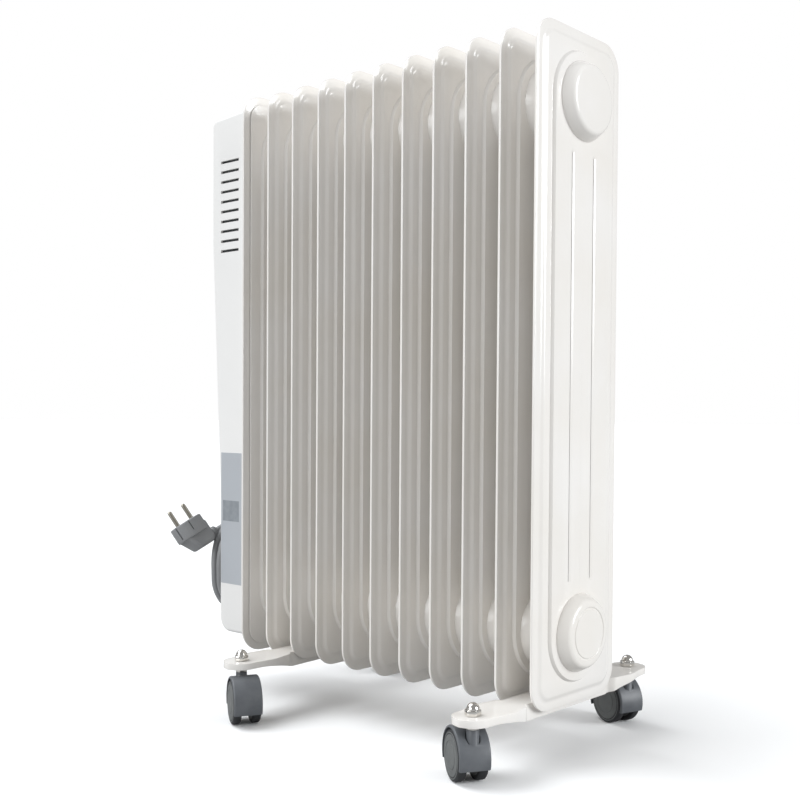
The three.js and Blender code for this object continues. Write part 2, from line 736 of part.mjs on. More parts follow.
function addSwitches() {
  for (const [side, name] of [[-1, 'rocker_low_heat'], [1, 'rocker_high_heat']]) {
    const piece = add(name, rocker(), signalRed());
    piece.position.set(ROCKER_AXIS_X, (side * ROCKER_SPACING) / 2, ROCKER_Z);
  }
  const front = PANEL_FACE_X + BOX_WALL + TOUCH;
  const half = ROCKER_SPACING / 2 + ROCKER_WIDTH / 2 + 3;
  const body = block([front, -half, -14], [front + 18, half, 14]);
  const wells = [-1, 1].map((side) => block(
    [front - 1, (side * ROCKER_SPACING) / 2 - ROCKER_WIDTH / 2 - 1, -ROCKER_HEIGHT / 2 - 1],
    [front + 8, (side * ROCKER_SPACING) / 2 + ROCKER_WIDTH / 2 + 1, ROCKER_HEIGHT / 2 + 1],
  ));
  const lampSeat = turnedX([
    [0, front - 1],
    [LAMP_R + 1, front - 1],
    [LAMP_R + 1, front + 6],
    [0, front + 6],
  ], 12);
  const housing = carve([body], [...wells, lampSeat]);
  add('switch_body', housing.translate(0, 0, ROCKER_Z), darkPlastic());
  const outer = PANEL_FACE_X - CONTROL_THICK - 1;
  const lamp = turnedX([
    [0, outer - 0.6],
    [LAMP_R * 0.7, outer - 0.4],
    [LAMP_R, outer + 0.6],
    [LAMP_R, front + 6 - TOUCH],
    [0, front + 6 - TOUCH],
  ], 12);
  add('pilot_lamp', lamp.translate(0, 0, ROCKER_Z), signalRed());
}

/** The heater: a screwed flange on the first header and a hairpin rod in the oil. */
function addHeater() {
  const seat = -NECK_REACH - TOUCH;
  const flange = turnedX([
    [0, seat - FLANGE_THICK],
    [FLANGE_R - 1, seat - FLANGE_THICK],
    [FLANGE_R, seat - FLANGE_THICK + 1],
    [FLANGE_R, seat],
    [OIL_BORE_R - 1.2, seat],
    [OIL_BORE_R - 1.2, 2],
    [0, 2],
  ], 18);
  const half = ELEMENT_SPACING / 2;
  const path = new THREE.CurvePath();
  const end = ELEMENT_LENGTH;
  path.add(new THREE.LineCurve3(new THREE.Vector3(0, half, 0), new THREE.Vector3(end, half, 0)));
  path.add(new THREE.QuadraticBezierCurve3(
    new THREE.Vector3(end, half, 0),
    new THREE.Vector3(end + 2 * half, 0, 0),
    new THREE.Vector3(end, -half, 0),
  ));
  path.add(new THREE.LineCurve3(new THREE.Vector3(end, -half, 0), new THREE.Vector3(0, -half, 0)));
  const section = new THREE.Shape();
  section.absarc(0, 0, ELEMENT_R, 0, 2 * Math.PI);
  const hairpin = new THREE.ExtrudeGeometry(section, {
    steps: 16,
    extrudePath: path,
    curveSegments: 4,
  });
  const heater = carve([flange, hairpin]);
  add('heating_element', heater.translate(0, 0, HEADER_LOWER), zincSteel());
}

/** A block screwed to the shield: its outer face, Y span and Z span. */
function shieldBlock(face, [y1, y2], [z1, z2]) {
  return block([face, y1, z1], [-SHIELD_HALF - TOUCH, y2, z2]);
}

/** The terminal block, with a slot for each wire, and the tip-over switch. */
function addShieldParts() {
  const face = -TERMINAL_DEPTH;
  const low = HEADER_LOWER + TERMINAL_ABOVE;
  const [y1, y2] = [TERMINAL_Y, TERMINAL_Y + TERMINAL_WIDTH];
  const terminals = shieldBlock(face, [y1, y2], [low, low + 3 * TERMINAL_PITCH + 3]);
  const slots = [0, 1, 2].map((i) => {
    const foot = low + 4 + i * TERMINAL_PITCH;
    return block([face - 1, y1 + 2, foot], [face + 7, y2 + 1, foot + TERMINAL_PITCH / 2]);
  });
  add('terminal_block', carve([terminals], slots), whiteEnamel());
  const [side, foot] = [-TIP_SWITCH_Y, TIP_SWITCH_Z];
  const [across, up] = [TIP_SWITCH_WIDTH, TIP_SWITCH_HEIGHT];
  const tip = shieldBlock(-TIP_SWITCH_DEPTH, [side, side + across], [foot, foot + up]);
  const opening = block(
    [-TIP_SWITCH_DEPTH - 1, side + TIP_SWITCH_RIM, foot + TIP_SWITCH_RIM],
    [-TIP_SWITCH_DEPTH / 2, side + across - TIP_SWITCH_RIM, foot + up - TIP_SWITCH_RIM],
  );
  add('tip_over_switch', carve([tip], [opening]), darkPlastic());
}

// ---------------------------------------------------------------- cord and plug
/** A round cord along points, as a closed tube. */
function tube(points, radius, steps) {
  const curve = new THREE.CatmullRomCurve3(points.map((p) => new THREE.Vector3(...p)));
  const section = new THREE.Shape();
  section.absarc(0, 0, radius, 0, 2 * Math.PI);
  return new THREE.ExtrudeGeometry(section, {
    steps,
    extrudePath: curve,
    curveSegments: 5,
  });
}

/** The flanged winder that the cord is wound on. */
function addWinder() {
  const from = BOX_LOW_FACE - TOUCH;
  const lipBack = HANK_FRONT - TOUCH;
  const top = HANK_CENTRE_Z + HANK_HEIGHT / 2 - HANK_BAND - TOUCH;
  const radius = WINDER_WIDTH / 2;
  const [low, high] = [top - WINDER_HEIGHT + radius, top - radius];
  const post = alongX(slotOutline(radius, low, high), lipBack - 1, from);
  const pad = alongX(slotOutline(radius + 5, low, high), from - 3, from, { run: 1, rise: 1 });
  const lipOutline = slotOutline(radius, low - WINDER_LIP, high + WINDER_LIP);
  const lip = alongX(lipOutline, lipBack - WINDER_LIP_THICK, lipBack, { run: 1, rise: 1 });
  const hollow = alongX(slotOutline(radius - 3, low, high), lipBack - 2 * WINDER_LIP_THICK, from - 3);
  add('cord_winder', carve([post, pad, lip], [hollow]), boxPlastic());
}

/** The gland: a flanged stub out of the box, and a relief that leans over the hank. */
function addGland() {
  const face = BOX_LOW_FACE;
  const slope = Math.atan((BOX_DEPTH_TOP - BOX_DEPTH_LOW) / (BOX_TAPER_TOP - BOX_TAPER_FOOT));
  const flangeFace = -slope * (GLAND_Z - BOX_TAPER_FOOT) - 2 * TOUCH;
  const flange = turnedX([
    [0, flangeFace - GLAND_FLANGE_THICK],
    [GLAND_FLANGE_R - 1, flangeFace - GLAND_FLANGE_THICK],
    [GLAND_FLANGE_R, flangeFace - GLAND_FLANGE_THICK + 1],
    [GLAND_FLANGE_R, flangeFace],
    [0, flangeFace],
  ], 16).rotateY(-slope).translate(face, 0, 0);
  const stub = turnedX([
    [0, GLAND_X],
    [GLAND_NECK_R, GLAND_X],
    [GLAND_NECK_R, face + BOX_WALL + 4],
    [0, face + BOX_WALL + 4],
  ], 12);
  const relief = turned([
    [0, -GLAND_RELIEF_LENGTH],
    [GLAND_RELIEF_TIP_R, -GLAND_RELIEF_LENGTH],
    [GLAND_RELIEF_R, -GLAND_RELIEF_R],
    [GLAND_RELIEF_R, GLAND_RELIEF_R - 2],
    [GLAND_RELIEF_R - 2, GLAND_RELIEF_R],
    [0, GLAND_RELIEF_R],
  ], 12).rotateX(-THREE.MathUtils.degToRad(GLAND_LEAN)).translate(GLAND_X, 0, 0);
  add('cord_gland', carve([relief, stub, flange]).translate(0, GLAND_Y, GLAND_Z), cordGrey());
}

/** The last turn of the cord, from the plug's relief over the front of the hank. */
const TAIL_ROUTE = [
  [-80, -35.2, 166],
  [-79.4, -27, 170],
  [-78.7, -18, 174.6],
  [-78.4, -8, 178.9],
  [-78.4, 2, 180.9],
  [-78.4, 13, 179],
  [-78.4, 24, 173.5],
  [-78.4, 33, 165],
  [-78.4, 39.3, 153.8],
  [-78.4, 42, 141],
];

function addCord() {
  add('cord_lead', tube(LEAD_ROUTE, CORD_R, 2), cordGrey());
  add('cord_tail', tube(TAIL_ROUTE, CORD_R, 20), cordGrey());
  const [low, high] = [HANK_CENTRE_Z - HANK_STRAIGHT, HANK_CENTRE_Z + HANK_STRAIGHT];
  const outer = slotOutline(HANK_WIDTH / 2, low, high);
  const inner = slotOutline(HANK_WIDTH / 2 - HANK_BAND, low, high);
  outer.holes.push(new THREE.Path(inner.getPoints(5)));
  const hank = alongX(outer, HANK_FRONT, HANK_BACK, { run: 5, rise: 5, segments: 1, curve: 5 });
  add('cord_hank', hank, cordGrey());
}

/** Sets a piece of the plug down on its place at the cord's end. */
function placePlug(geometry) {
  geometry.rotateY(THREE.MathUtils.degToRad(PLUG_SWING));
  geometry.rotateZ(THREE.MathUtils.degToRad(PLUG_TURN));
  geometry.rotateX(Math.PI / 2);
  geometry.rotateZ(THREE.MathUtils.degToRad(PLUG_YAW));
  return geometry.translate(...PLUG_FACE);
}

/** The plug's grip behind its round front, drawn in towards the relief's side. */
function plugGrip() {
  const heel = PLUG_RIM + 0.8;
  const shape = new THREE.Shape();
  shape.moveTo(4 - PLUG_R, -PLUG_RIM / 2);
  shape.lineTo(3.2 - PLUG_R, -heel);
  shape.quadraticCurveTo(9 - PLUG_R, -heel - 5, 11 - PLUG_R, -heel - 8);
  shape.quadraticCurveTo(12 - PLUG_R, -PLUG_BACK, 15 - PLUG_R, -PLUG_BACK);
  shape.lineTo(PLUG_R - 7, -PLUG_BACK);
  shape.lineTo(PLUG_R - 2, -PLUG_BACK + 4);
  shape.lineTo(PLUG_R - 2, -PLUG_RIM / 2);
  shape.closePath();
  const grip = new THREE.ExtrudeGeometry(shape, {
    depth: 2 * PLUG_HALF - 8,
    bevelEnabled: true,
    bevelSize: 3,
    bevelOffset: -3,
    bevelThickness: 4,
    bevelSegments: 2,
    curveSegments: 4,
  });
  return grip.translate(0, 0, 4 - PLUG_HALF);
}

/** The angled plug: X along its two pins' spacing, Y the way the pins point. */
function addPlug() {
  const front = turned([
    [0, -PLUG_RIM],
    [PLUG_R - 2, -PLUG_RIM],
    [PLUG_R, -PLUG_RIM + 2],
    [PLUG_R, -1.5],
    [PLUG_R - 1.5, 0],
    [0, 0],
  ], 20).rotateX(-Math.PI / 2);
  const relief = turnedX([
    [0, 0],
    [RELIEF_R, 0],
    [RELIEF_R, PLUG_R],
    [RELIEF_TIP_R, RELIEF_LENGTH],
    [0, RELIEF_LENGTH],
  ], 12).translate(0, -RELIEF_BEHIND, 0);
  const seats = [-1, 1].map((side) => {
    const hole = rod(PIN_R + TOUCH, -4, 1, 12).rotateX(-Math.PI / 2);
    return hole.translate((side * PIN_SPACING) / 2, 0, 0);
  });
  add('plug_body', placePlug(carve([front, plugGrip(), relief], seats)), cordGrey());
  for (const [side, name] of [[-1, 'plug_pin_left'], [1, 'plug_pin_right']]) {
    const pin = turned([
      [0, TOUCH - 4],
      [PIN_R, TOUCH - 4],
      [PIN_R, PIN_LENGTH - 1.6],
      [PIN_R * 0.5, PIN_LENGTH],
      [0, PIN_LENGTH],
    ], 12).rotateX(-Math.PI / 2).translate((side * PIN_SPACING) / 2, 0, 0);
    add(name, placePlug(pin), brassPin());
  }
}

// ---------------------------------------------------------------- foot plates
/** Half of a foot plate's outline, drawn in by an inset, then mirrored to the other side. */
function platePlan(inset) {
  const mid = PLATE_MID_HALF - inset;
  const wide = PLATE_WIDE_HALF - inset;
  const tip = PLATE_TIP_HALF - inset;
  const end = PLATE_TIP_Y - inset;
  const shape = new THREE.Shape();
  shape.moveTo(mid, -PLATE_MID_REACH);
  shape.lineTo(mid, PLATE_MID_REACH);
  shape.bezierCurveTo(mid, PLATE_MID_REACH + 9, wide, PLATE_WIDE_Y - 13, wide, PLATE_WIDE_Y);
  shape.bezierCurveTo(wide, PLATE_WIDE_Y + 13, tip + 1, STEM_Y - 8, tip, STEM_Y);
  shape.bezierCurveTo(tip - 0.6, STEM_Y + 10, tip * 0.62, end, 0, end);
  shape.bezierCurveTo(-tip * 0.62, end, 0.6 - tip, STEM_Y + 10, -tip, STEM_Y);
  shape.bezierCurveTo(-tip - 1, STEM_Y - 8, -wide, PLATE_WIDE_Y + 13, -wide, PLATE_WIDE_Y);
  shape.bezierCurveTo(-wide, PLATE_WIDE_Y - 13, -mid, PLATE_MID_REACH + 9, -mid, PLATE_MID_REACH);
  shape.lineTo(-mid, -PLATE_MID_REACH);
  shape.bezierCurveTo(-mid, -PLATE_MID_REACH - 9, -wide, 13 - PLATE_WIDE_Y, -wide, -PLATE_WIDE_Y);
  shape.bezierCurveTo(-wide, -PLATE_WIDE_Y - 13, -tip - 1, 8 - STEM_Y, -tip, -STEM_Y);
  shape.bezierCurveTo(0.6 - tip, -STEM_Y - 10, -tip * 0.62, -end, 0, -end);
  shape.bezierCurveTo(tip * 0.62, -end, tip - 0.6, -STEM_Y - 10, tip, -STEM_Y);
  shape.bezierCurveTo(tip + 1, 8 - STEM_Y, wide, -PLATE_WIDE_Y - 13, wide, -PLATE_WIDE_Y);
  shape.bezierCurveTo(wide, 13 - PLATE_WIDE_Y, mid, -PLATE_MID_REACH - 9, mid, -PLATE_MID_REACH);
  return shape;
}

/** What is cut from under a plate's end, so that its skirt is shallow at the tip. */
function tipCut(side) {
  const low = PLATE_TOP - PLATE_SKIRT - 4;
  const deep = PLATE_TOP - PLATE_SKIRT;
  const shallow = PLATE_TOP - PLATE_TIP_SKIRT;
  const beyond = PLATE_TIP_Y + 10;
  const shape = new THREE.Shape();
  shape.moveTo(side * PLATE_DEEP_Y, low);
  shape.lineTo(side * PLATE_DEEP_Y, deep);
  shape.quadraticCurveTo(side * PLATE_WIDE_Y, shallow, side * PLATE_SHALLOW_Y, shallow);
  shape.lineTo(side * beyond, shallow);
  shape.lineTo(side * beyond, low);
  return alongX(shape, -2 * PLATE_WIDE_HALF, 2 * PLATE_WIDE_HALF);
}

/** A pressed foot plate, holed for its two caster stems and its U-bolt. */
function addFootPlate(name, centre, yaw, boltX) {
  const deep = PLATE_TOP - PLATE_SKIRT;
  const outer = upright(platePlan(0), deep - 3, PLATE_TOP, { run: 1.4, rise: 1.4, curve: 3 });
  const inner = upright(platePlan(PLATE_THICK), deep - 9, PLATE_TOP - PLATE_THICK, { curve: 3 });
  const below = block([-40, -200, deep - 10], [40, 200, deep]);
  const above = PLATE_TOP + 10;
  const stems = [-1, 1].map((side) => {
    return rod(BOLT_HOLE_R + 1, deep, above, 10).translate(0, side * STEM_Y, 0);
  });
  const cuts = [below, inner, tipCut(-1), tipCut(1), ...stems];
  const turn = (geometry) => {
    return geometry.rotateZ(THREE.MathUtils.degToRad(yaw)).translate(centre, 0, 0);
  };
  const bolts = [-1, 1].map((side) => {
    return rod(BOLT_HOLE_R, deep, above, 10).translate(boltX, side * BOLT_LOOP_R, 0);
  });
  add(name, carve([turn(outer)], [...cuts.map(turn), ...bolts]), whiteEnamel());
}

/** A U-bolt over the lower header, its two legs down through the plate. */
function addUBolt(name, x) {
  const foot = PLATE_TOP - BOLT_BELOW_PLATE;
  const path = new THREE.CurvePath();
  const vector = (y, z) => new THREE.Vector3(0, y, z);
  path.add(new THREE.LineCurve3(vector(-BOLT_LOOP_R, foot), vector(-BOLT_LOOP_R, HEADER_LOWER)));
  const arc = new HeaderArc(BOLT_LOOP_R, HEADER_LOWER);
  path.add(arc);
  path.add(new THREE.LineCurve3(vector(BOLT_LOOP_R, HEADER_LOWER), vector(BOLT_LOOP_R, foot)));
  const section = new THREE.Shape();
  section.absarc(0, 0, BOLT_R, 0, 2 * Math.PI);
  const bolt = new THREE.ExtrudeGeometry(section, {
    steps: 18,
    extrudePath: path,
    curveSegments: 4,
  });
  add(name, bolt.translate(x, 0, 0), zincSteel());
}

/** The half turn of a U-bolt over the header, from -Y to +Y. */
class HeaderArc extends THREE.Curve {
  constructor(radius, height) {
    super();
    this.radius = radius;
    this.height = height;
  }

  getPoint(t, target = new THREE.Vector3()) {
    const angle = Math.PI * (1 - t);
    const y = this.radius * Math.cos(angle);
    return target.set(0, y, this.height + this.radius * Math.sin(angle));
  }
}

/** A wing nut under the plate. */
function wingNut() {
  const top = PLATE_TOP - PLATE_THICK - TOUCH;
  const hub = rod(WING_R, top - WING_HEIGHT, top, 10);
  const wing = new THREE.Shape();
  const half = WING_SPAN / 2;
  wing.moveTo(-4, top - 1);
  wing.lineTo(-half, top - WING_HEIGHT - 1);
  wing.quadraticCurveTo(-half + 1, top - WING_HEIGHT - 5, -half + 5, top - WING_HEIGHT - 3);
  wing.lineTo(-4, top - WING_HEIGHT);
  wing.lineTo(4, top - WING_HEIGHT);
  wing.lineTo(half - 5, top - WING_HEIGHT - 3);
  wing.quadraticCurveTo(half - 1, top - WING_HEIGHT - 5, half, top - WING_HEIGHT - 1);
  wing.lineTo(4, top - 1);
  wing.closePath();
  const wings = alongX(wing, -1, 1, { curve: 2 });
  return carve([hub, wings], [rod(BOLT_R + TOUCH, top - 14, top + 2, 8)]);
}

function addWingNuts(end, x) {
  for (const [side, name] of [[-1, 'left'], [1, 'right']]) {
    const nut = add(`wing_nut_${end}_${name}`, wingNut(), zincSteel());
    nut.position.set(x, side * BOLT_LOOP_R, 0);
  }
}

// ---------------------------------------------------------------- casters
/** A side outline (X, Z) about the axle, swept across the caster. */
function acrossCaster(shape, half, curve) {
  const geometry = new THREE.ExtrudeGeometry(shape, {
    depth: 2 * half,
    bevelEnabled: false,
    curveSegments: curve,
  });
  geometry.translate(0, 0, -half).rotateX(Math.PI / 2);
  return geometry.translate(TRAIL, 0, WHEEL_R);
}

/** The hood over both wheels, with its web, its stem socket and its axle. */
function hood() {
  const [rear, fore] = [HOOD_REAR, HOOD_FRONT].map(THREE.MathUtils.degToRad);
  const band = new THREE.Shape();
  band.absarc(0, 0, HOOD_R, rear, fore);
  band.absarc(0, 0, HOOD_INNER_R, fore, rear, true);
  band.closePath();
  const web = new THREE.Shape();
  web.absarc(0, 0, HOOD_INNER_R + 0.5, rear, fore);
  web.lineTo(0, -HUB_R);
  web.lineTo(HUB_R, 0);
  web.closePath();
  const axle = turned([
    [0, -AXLE_HALF],
    [AXLE_R, -AXLE_HALF],
    [AXLE_R, AXLE_HALF],
    [0, AXLE_HALF],
  ], 10).rotateX(-Math.PI / 2).translate(TRAIL, 0, WHEEL_R);
  const hub = rod(HUB_R, -WEB_HALF, WEB_HALF, 12).rotateX(-Math.PI / 2);
  hub.translate(TRAIL, 0, WHEEL_R);
  const shellBand = acrossCaster(band, HOOD_HALF, 4);
  const recess = rod(RECESS_R, RECESS_FLOOR, HOOD_R + 2 * WHEEL_R, 12);
  const socket = rod(SOCKET_R, RECESS_FLOOR - 6, SOCKET_TOP, 10);
  const bore = rod(STEM_R - STEM_NECK + RUNNING, STEM_FOOT - TOUCH, SOCKET_TOP + 1, 10);
  let body = solid(shellBand).add(solid(acrossCaster(web, WEB_HALF, 3)));
  body = body.subtract(solid(recess)).add(solid(socket)).subtract(solid(bore));
  return geometryOf(body.add(solid(hub)).add(solid(axle)));
}

/** A wheel: tread, shoulder and domed cap, bored for the axle from its inner face. */
function wheel(side) {
  const depth = AXLE_HALF + TOUCH;
  const profile = [
    [0, depth],
    [AXLE_R + RUNNING, depth],
    [AXLE_R + RUNNING, WHEEL_INNER],
    [WHEEL_R - 1, WHEEL_INNER],
    [WHEEL_R, WHEEL_INNER + 1.2],
    [WHEEL_R, WHEEL_OUTER - 2.6],
    [WHEEL_R - 2.2, WHEEL_OUTER - 0.8],
    [WHEEL_R - 4, WHEEL_OUTER - 0.4],
    [0, WHEEL_OUTER],
  ];
  return turned(profile, 16).rotateX((-side * Math.PI) / 2);
}

/** The stem: pin in the socket, collar, and the thread up through the plate. */
function stem() {
  return turned([
    [0, STEM_FOOT],
    [STEM_R - STEM_NECK, STEM_FOOT],
    [STEM_R - STEM_NECK, SOCKET_TOP + TOUCH],
    [COLLAR_R, SOCKET_TOP + TOUCH],
    [COLLAR_R, PLATE_TOP - PLATE_THICK - TOUCH],
    [STEM_R, PLATE_TOP - PLATE_THICK - TOUCH],
    [STEM_R, PLATE_TOP + NUT_HEIGHT - 5],
    [0, PLATE_TOP + NUT_HEIGHT - 5],
  ], 10);
}

/** The acorn nut on top of the plate. */
function acornNut() {
  const seat = PLATE_TOP + TOUCH;
  const hex = rod(NUT_FLATS / Math.sqrt(3), seat, seat + NUT_HEIGHT * 0.52, 6);
  const dome = turned([
    [0, seat + 2],
    [NUT_FLATS * 0.46, seat + 2],
    [NUT_FLATS * 0.46, seat + NUT_HEIGHT * 0.58],
    [NUT_FLATS * 0.36, seat + NUT_HEIGHT * 0.84],
    [NUT_FLATS * 0.18, seat + NUT_HEIGHT * 0.97],
    [0, seat + NUT_HEIGHT],
  ], 10);
  return carve([hex, dome], [rod(STEM_R + RUNNING, seat - 1, seat + NUT_HEIGHT - 4.7, 10)]);
}

/** One caster at a plate's end, standing the way it trails. */
function addCaster(place, plateX, yaw, side) {
  const angle = THREE.MathUtils.degToRad(yaw);
  const base = new THREE.Group();
  base.position.set(plateX - side * STEM_Y * Math.sin(angle), side * STEM_Y * Math.cos(angle), 0);
  shell.add(base);
  add(`acorn_nut_${place}`, acornNut(), zincSteel(), base);
  add(`caster_stem_${place}`, stem(), zincSteel(), base);
  const swivel = new THREE.Group();
  swivel.rotation.z = THREE.MathUtils.degToRad(CASTER_TRAILS[place]);
  base.add(swivel);
  add(`caster_hood_${place}`, hood(), greyPlastic(), swivel);
  for (const [hand, name] of [[1, 'a'], [-1, 'b']]) {
    const tyre = add(`wheel_${place}_${name}`, wheel(hand), capPlastic(), swivel);
    tyre.position.set(TRAIL, 0, WHEEL_R);
  }
}

// ---------------------------------------------------------------- the assembly
function addFeet() {
  addFootPlate('foot_plate_near', NEAR_PLATE_X, 0, NEAR_BOLT_X);
  addFootPlate('foot_plate_far', FAR_PLATE_X, FAR_PLATE_YAW, FAR_BOLT_X);
  addUBolt('u_bolt_near', NEAR_BOLT_X);
  addUBolt('u_bolt_far', FAR_BOLT_X);
  addWingNuts('near', NEAR_BOLT_X);
  addWingNuts('far', FAR_BOLT_X);
  addCaster('near_left', NEAR_PLATE_X, 0, -1);
  addCaster('near_right', NEAR_PLATE_X, 0, 1);
  addCaster('far_left', FAR_PLATE_X, FAR_PLATE_YAW, -1);
  addCaster('far_right', FAR_PLATE_X, FAR_PLATE_YAW, 1);
}

addFins();
addShield();
addControlBox();
addControlPanel();
addKnob();
addThermostat();
addSwitches();
addHeater();
addShieldParts();
addWinder();
addGland();
addCord();
addPlug();
addFeet();

/** Moves the object so that its own pieces stand about the origin, without the free cord. */
function standOnOrigin(free) {
  group.updateMatrixWorld(true);
  const box = new THREE.Box3();
  shell.traverse((piece) => {
    if (piece.isMesh && !free.includes(piece.name)) {
      box.union(new THREE.Box3().setFromObject(piece, true));
    }
  });
  const centre = box.getCenter(new THREE.Vector3());
  shell.position.set(-centre.x, -centre.y, -box.min.z);
  shell.updateMatrixWorld(true);
}

standOnOrigin([
  'cord_gland',
  'cord_lead',
  'cord_hank',
  'cord_tail',
  'plug_body',
  'plug_pin_left',
  'plug_pin_right',
]);

export default group;
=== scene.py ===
"""Looks of an oil filled radiator heater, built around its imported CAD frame.

Sizes are in millimetres in the heater's own places: X from the first fin along the row,
Y across it from its middle, Z up from the floor. place() turns them into the frame's metres.
"""
import json
import math

import bpy
from mathutils import Matrix, Vector


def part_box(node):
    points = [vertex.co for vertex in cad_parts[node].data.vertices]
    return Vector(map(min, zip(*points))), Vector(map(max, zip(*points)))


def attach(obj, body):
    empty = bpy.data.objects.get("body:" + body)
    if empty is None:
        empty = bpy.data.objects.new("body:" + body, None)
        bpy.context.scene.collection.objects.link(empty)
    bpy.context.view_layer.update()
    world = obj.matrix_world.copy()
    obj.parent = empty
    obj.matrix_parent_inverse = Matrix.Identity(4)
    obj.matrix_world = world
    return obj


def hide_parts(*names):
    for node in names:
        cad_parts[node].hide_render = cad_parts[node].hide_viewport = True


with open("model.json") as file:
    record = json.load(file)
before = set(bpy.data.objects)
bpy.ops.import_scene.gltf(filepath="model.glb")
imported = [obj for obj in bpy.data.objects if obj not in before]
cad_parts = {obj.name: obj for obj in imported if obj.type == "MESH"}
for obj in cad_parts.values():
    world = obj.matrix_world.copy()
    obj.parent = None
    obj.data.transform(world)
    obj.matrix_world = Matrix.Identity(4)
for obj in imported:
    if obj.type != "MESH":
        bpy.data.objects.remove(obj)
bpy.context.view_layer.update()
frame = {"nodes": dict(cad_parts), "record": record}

MM = 0.001
SHIELD_LOW, SHIELD_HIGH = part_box("rear_shield")
ROW_START = Vector(((SHIELD_LOW.x + SHIELD_HIGH.x) / 2, (SHIELD_LOW.y + SHIELD_HIGH.y) / 2, 0))


def place(x, y, z):
    """A point of the heater, in millimetres, as a point of the frame, in metres."""
    return ROW_START + Vector((x, y, z)) * MM


# ---------------- sizes, in millimetres
FIN_COUNT = 11
FIN_PITCH = 37.2
FIN_WIDTH = 125
FIN_HEIGHT = 580
FIN_BOTTOM = 47.6
FIN_CORNER = 23.5
FIN_MIDDLE = FIN_BOTTOM + FIN_HEIGHT / 2
SEAM_HALF = 1.2
PANEL_HALF = 5.8
PANEL_RADIUS = 43.5
HEADERS = (FIN_BOTTOM + 62, FIN_BOTTOM + FIN_HEIGHT - 61)
HEADER_FACE_R = 28.8
HEADER_BASE_R = 35
HEADER_REACH = (FIN_PITCH - 0.3) / 2
END_CUP = 16.5
CHANNEL_Y = 16.4

# ---------------- camera
CAMERA_PLACE = (906.07, -798.2, 298.8)
CAMERA_YAW = 40.8
CAMERA_PITCH = 1.4
CAMERA_ROLL = 0.4
CAMERA_LENS = 49.48
CAMERA_SHIFT = 0.05


def add_camera():
    """The camera at the height of the fins' middle, looking along the row from its bare end."""
    data = bpy.data.cameras.new("camera")
    data.lens = CAMERA_LENS
    data.sensor_width = 36
    data.shift_x = -CAMERA_SHIFT
    data.shift_y = CAMERA_SHIFT
    data.clip_start = 0.01
    data.clip_end = 50
    camera = bpy.data.objects.new("camera", data)
    bpy.context.scene.collection.objects.link(camera)
    yaw, pitch, roll = (math.radians(a) for a in (CAMERA_YAW, CAMERA_PITCH, CAMERA_ROLL))
    upright = Matrix.Rotation(yaw, 4, "Z") @ Matrix.Rotation(math.pi / 2 - pitch, 4, "X")
    turned = upright @ Matrix.Rotation(roll, 4, "Z")
    camera.matrix_world = Matrix.Translation(place(*CAMERA_PLACE)) @ turned
    bpy.context.scene.camera = camera


add_camera()


# ---------------- materials
NOISE_SPAN = (0.3, 0.7)
DRIFT_SPAN = (0.35, 0.65)


def colour(hex_code):
    """An sRGB hex colour as the linear values that the shader reads."""
    levels = [int(hex_code[i:i + 2], 16) / 255 for i in (1, 3, 5)]
    linear = [v / 12.92 if v <= 0.04045 else ((v + 0.055) / 1.055) ** 2.4 for v in levels]
    return (*linear, 1.0)


def add_node(tree, kind, inputs=None, **settings):
    """A shader node with its settings, its input values and its input links."""
    node = tree.nodes.new(kind)
    for name, value in settings.items():
        setattr(node, name, value)
    for name, value in (inputs or {}).items():
        if isinstance(value, bpy.types.NodeSocket):
            tree.links.new(value, node.inputs[name])
        else:
            node.inputs[name].default_value = value
    return node


def new_material(name, hex_code, roughness, metallic=0.0, stir=None, drift=None, **sockets):
    """A named material: plain values, then its surface noise and its drift of colour."""
    material = bpy.data.materials.new(name)
    material.use_nodes = True
    tree = material.node_tree
    shader = tree.nodes["Principled BSDF"]
    shader.inputs["Base Color"].default_value = colour(hex_code)
    shader.inputs["Roughness"].default_value = roughness
    shader.inputs["Metallic"].default_value = metallic
    for socket, value in sockets.items():
        shader.inputs[socket.replace("_", " ")].default_value = value
    if stir:
        stir_surface(tree, shader, *stir)
    if drift:
        vary_colour(tree, shader, *drift)
    return material


def per_mm(size):
    """The scale of a pattern on Object coordinates whose cells are that many millimetres."""
    return 1 / (size * MM)


def stir_surface(tree, shader, cell, depth, rough=None):
    """Noise over a surface: a bump of a depth in millimetres and a change of roughness."""
    where = add_node(tree, "ShaderNodeTexCoord").outputs["Object"]
    noise = add_node(tree, "ShaderNodeTexNoise", {
        "Vector": where,
        "Scale": per_mm(cell),
        "Detail": 2.0,
    })
    bump = add_node(tree, "ShaderNodeBump", {
        "Height": noise.outputs["Fac"],
        "Distance": depth * MM,
        "Strength": 1.0,
    })
    tree.links.new(bump.outputs["Normal"], shader.inputs["Normal"])
    if rough:
        spread = add_node(tree, "ShaderNodeMapRange", {
            "Value": noise.outputs["Fac"],
            "From Min": NOISE_SPAN[0],
            "From Max": NOISE_SPAN[1],
            "To Min": rough[0],
            "To Max": rough[1],
        }, clamp=True)
        tree.links.new(spread.outputs["Result"], shader.inputs["Roughness"])


def vary_colour(tree, shader, dark, light, cell):
    """A slow drift between two near colours, as in a moulding or a coat of paint."""
    where = add_node(tree, "ShaderNodeTexCoord").outputs["Object"]
    noise = add_node(tree, "ShaderNodeTexNoise", {
        "Vector": where,
        "Scale": per_mm(cell),
        "Detail": 3.0,
    })
    ramp = add_node(tree, "ShaderNodeValToRGB", {"Fac": noise.outputs["Fac"]})
    for stop, position, shade in zip(ramp.color_ramp.elements, DRIFT_SPAN, (dark, light)):
        stop.position = position
        stop.color = colour(shade)
    tree.links.new(ramp.outputs["Color"], shader.inputs["Base Color"])


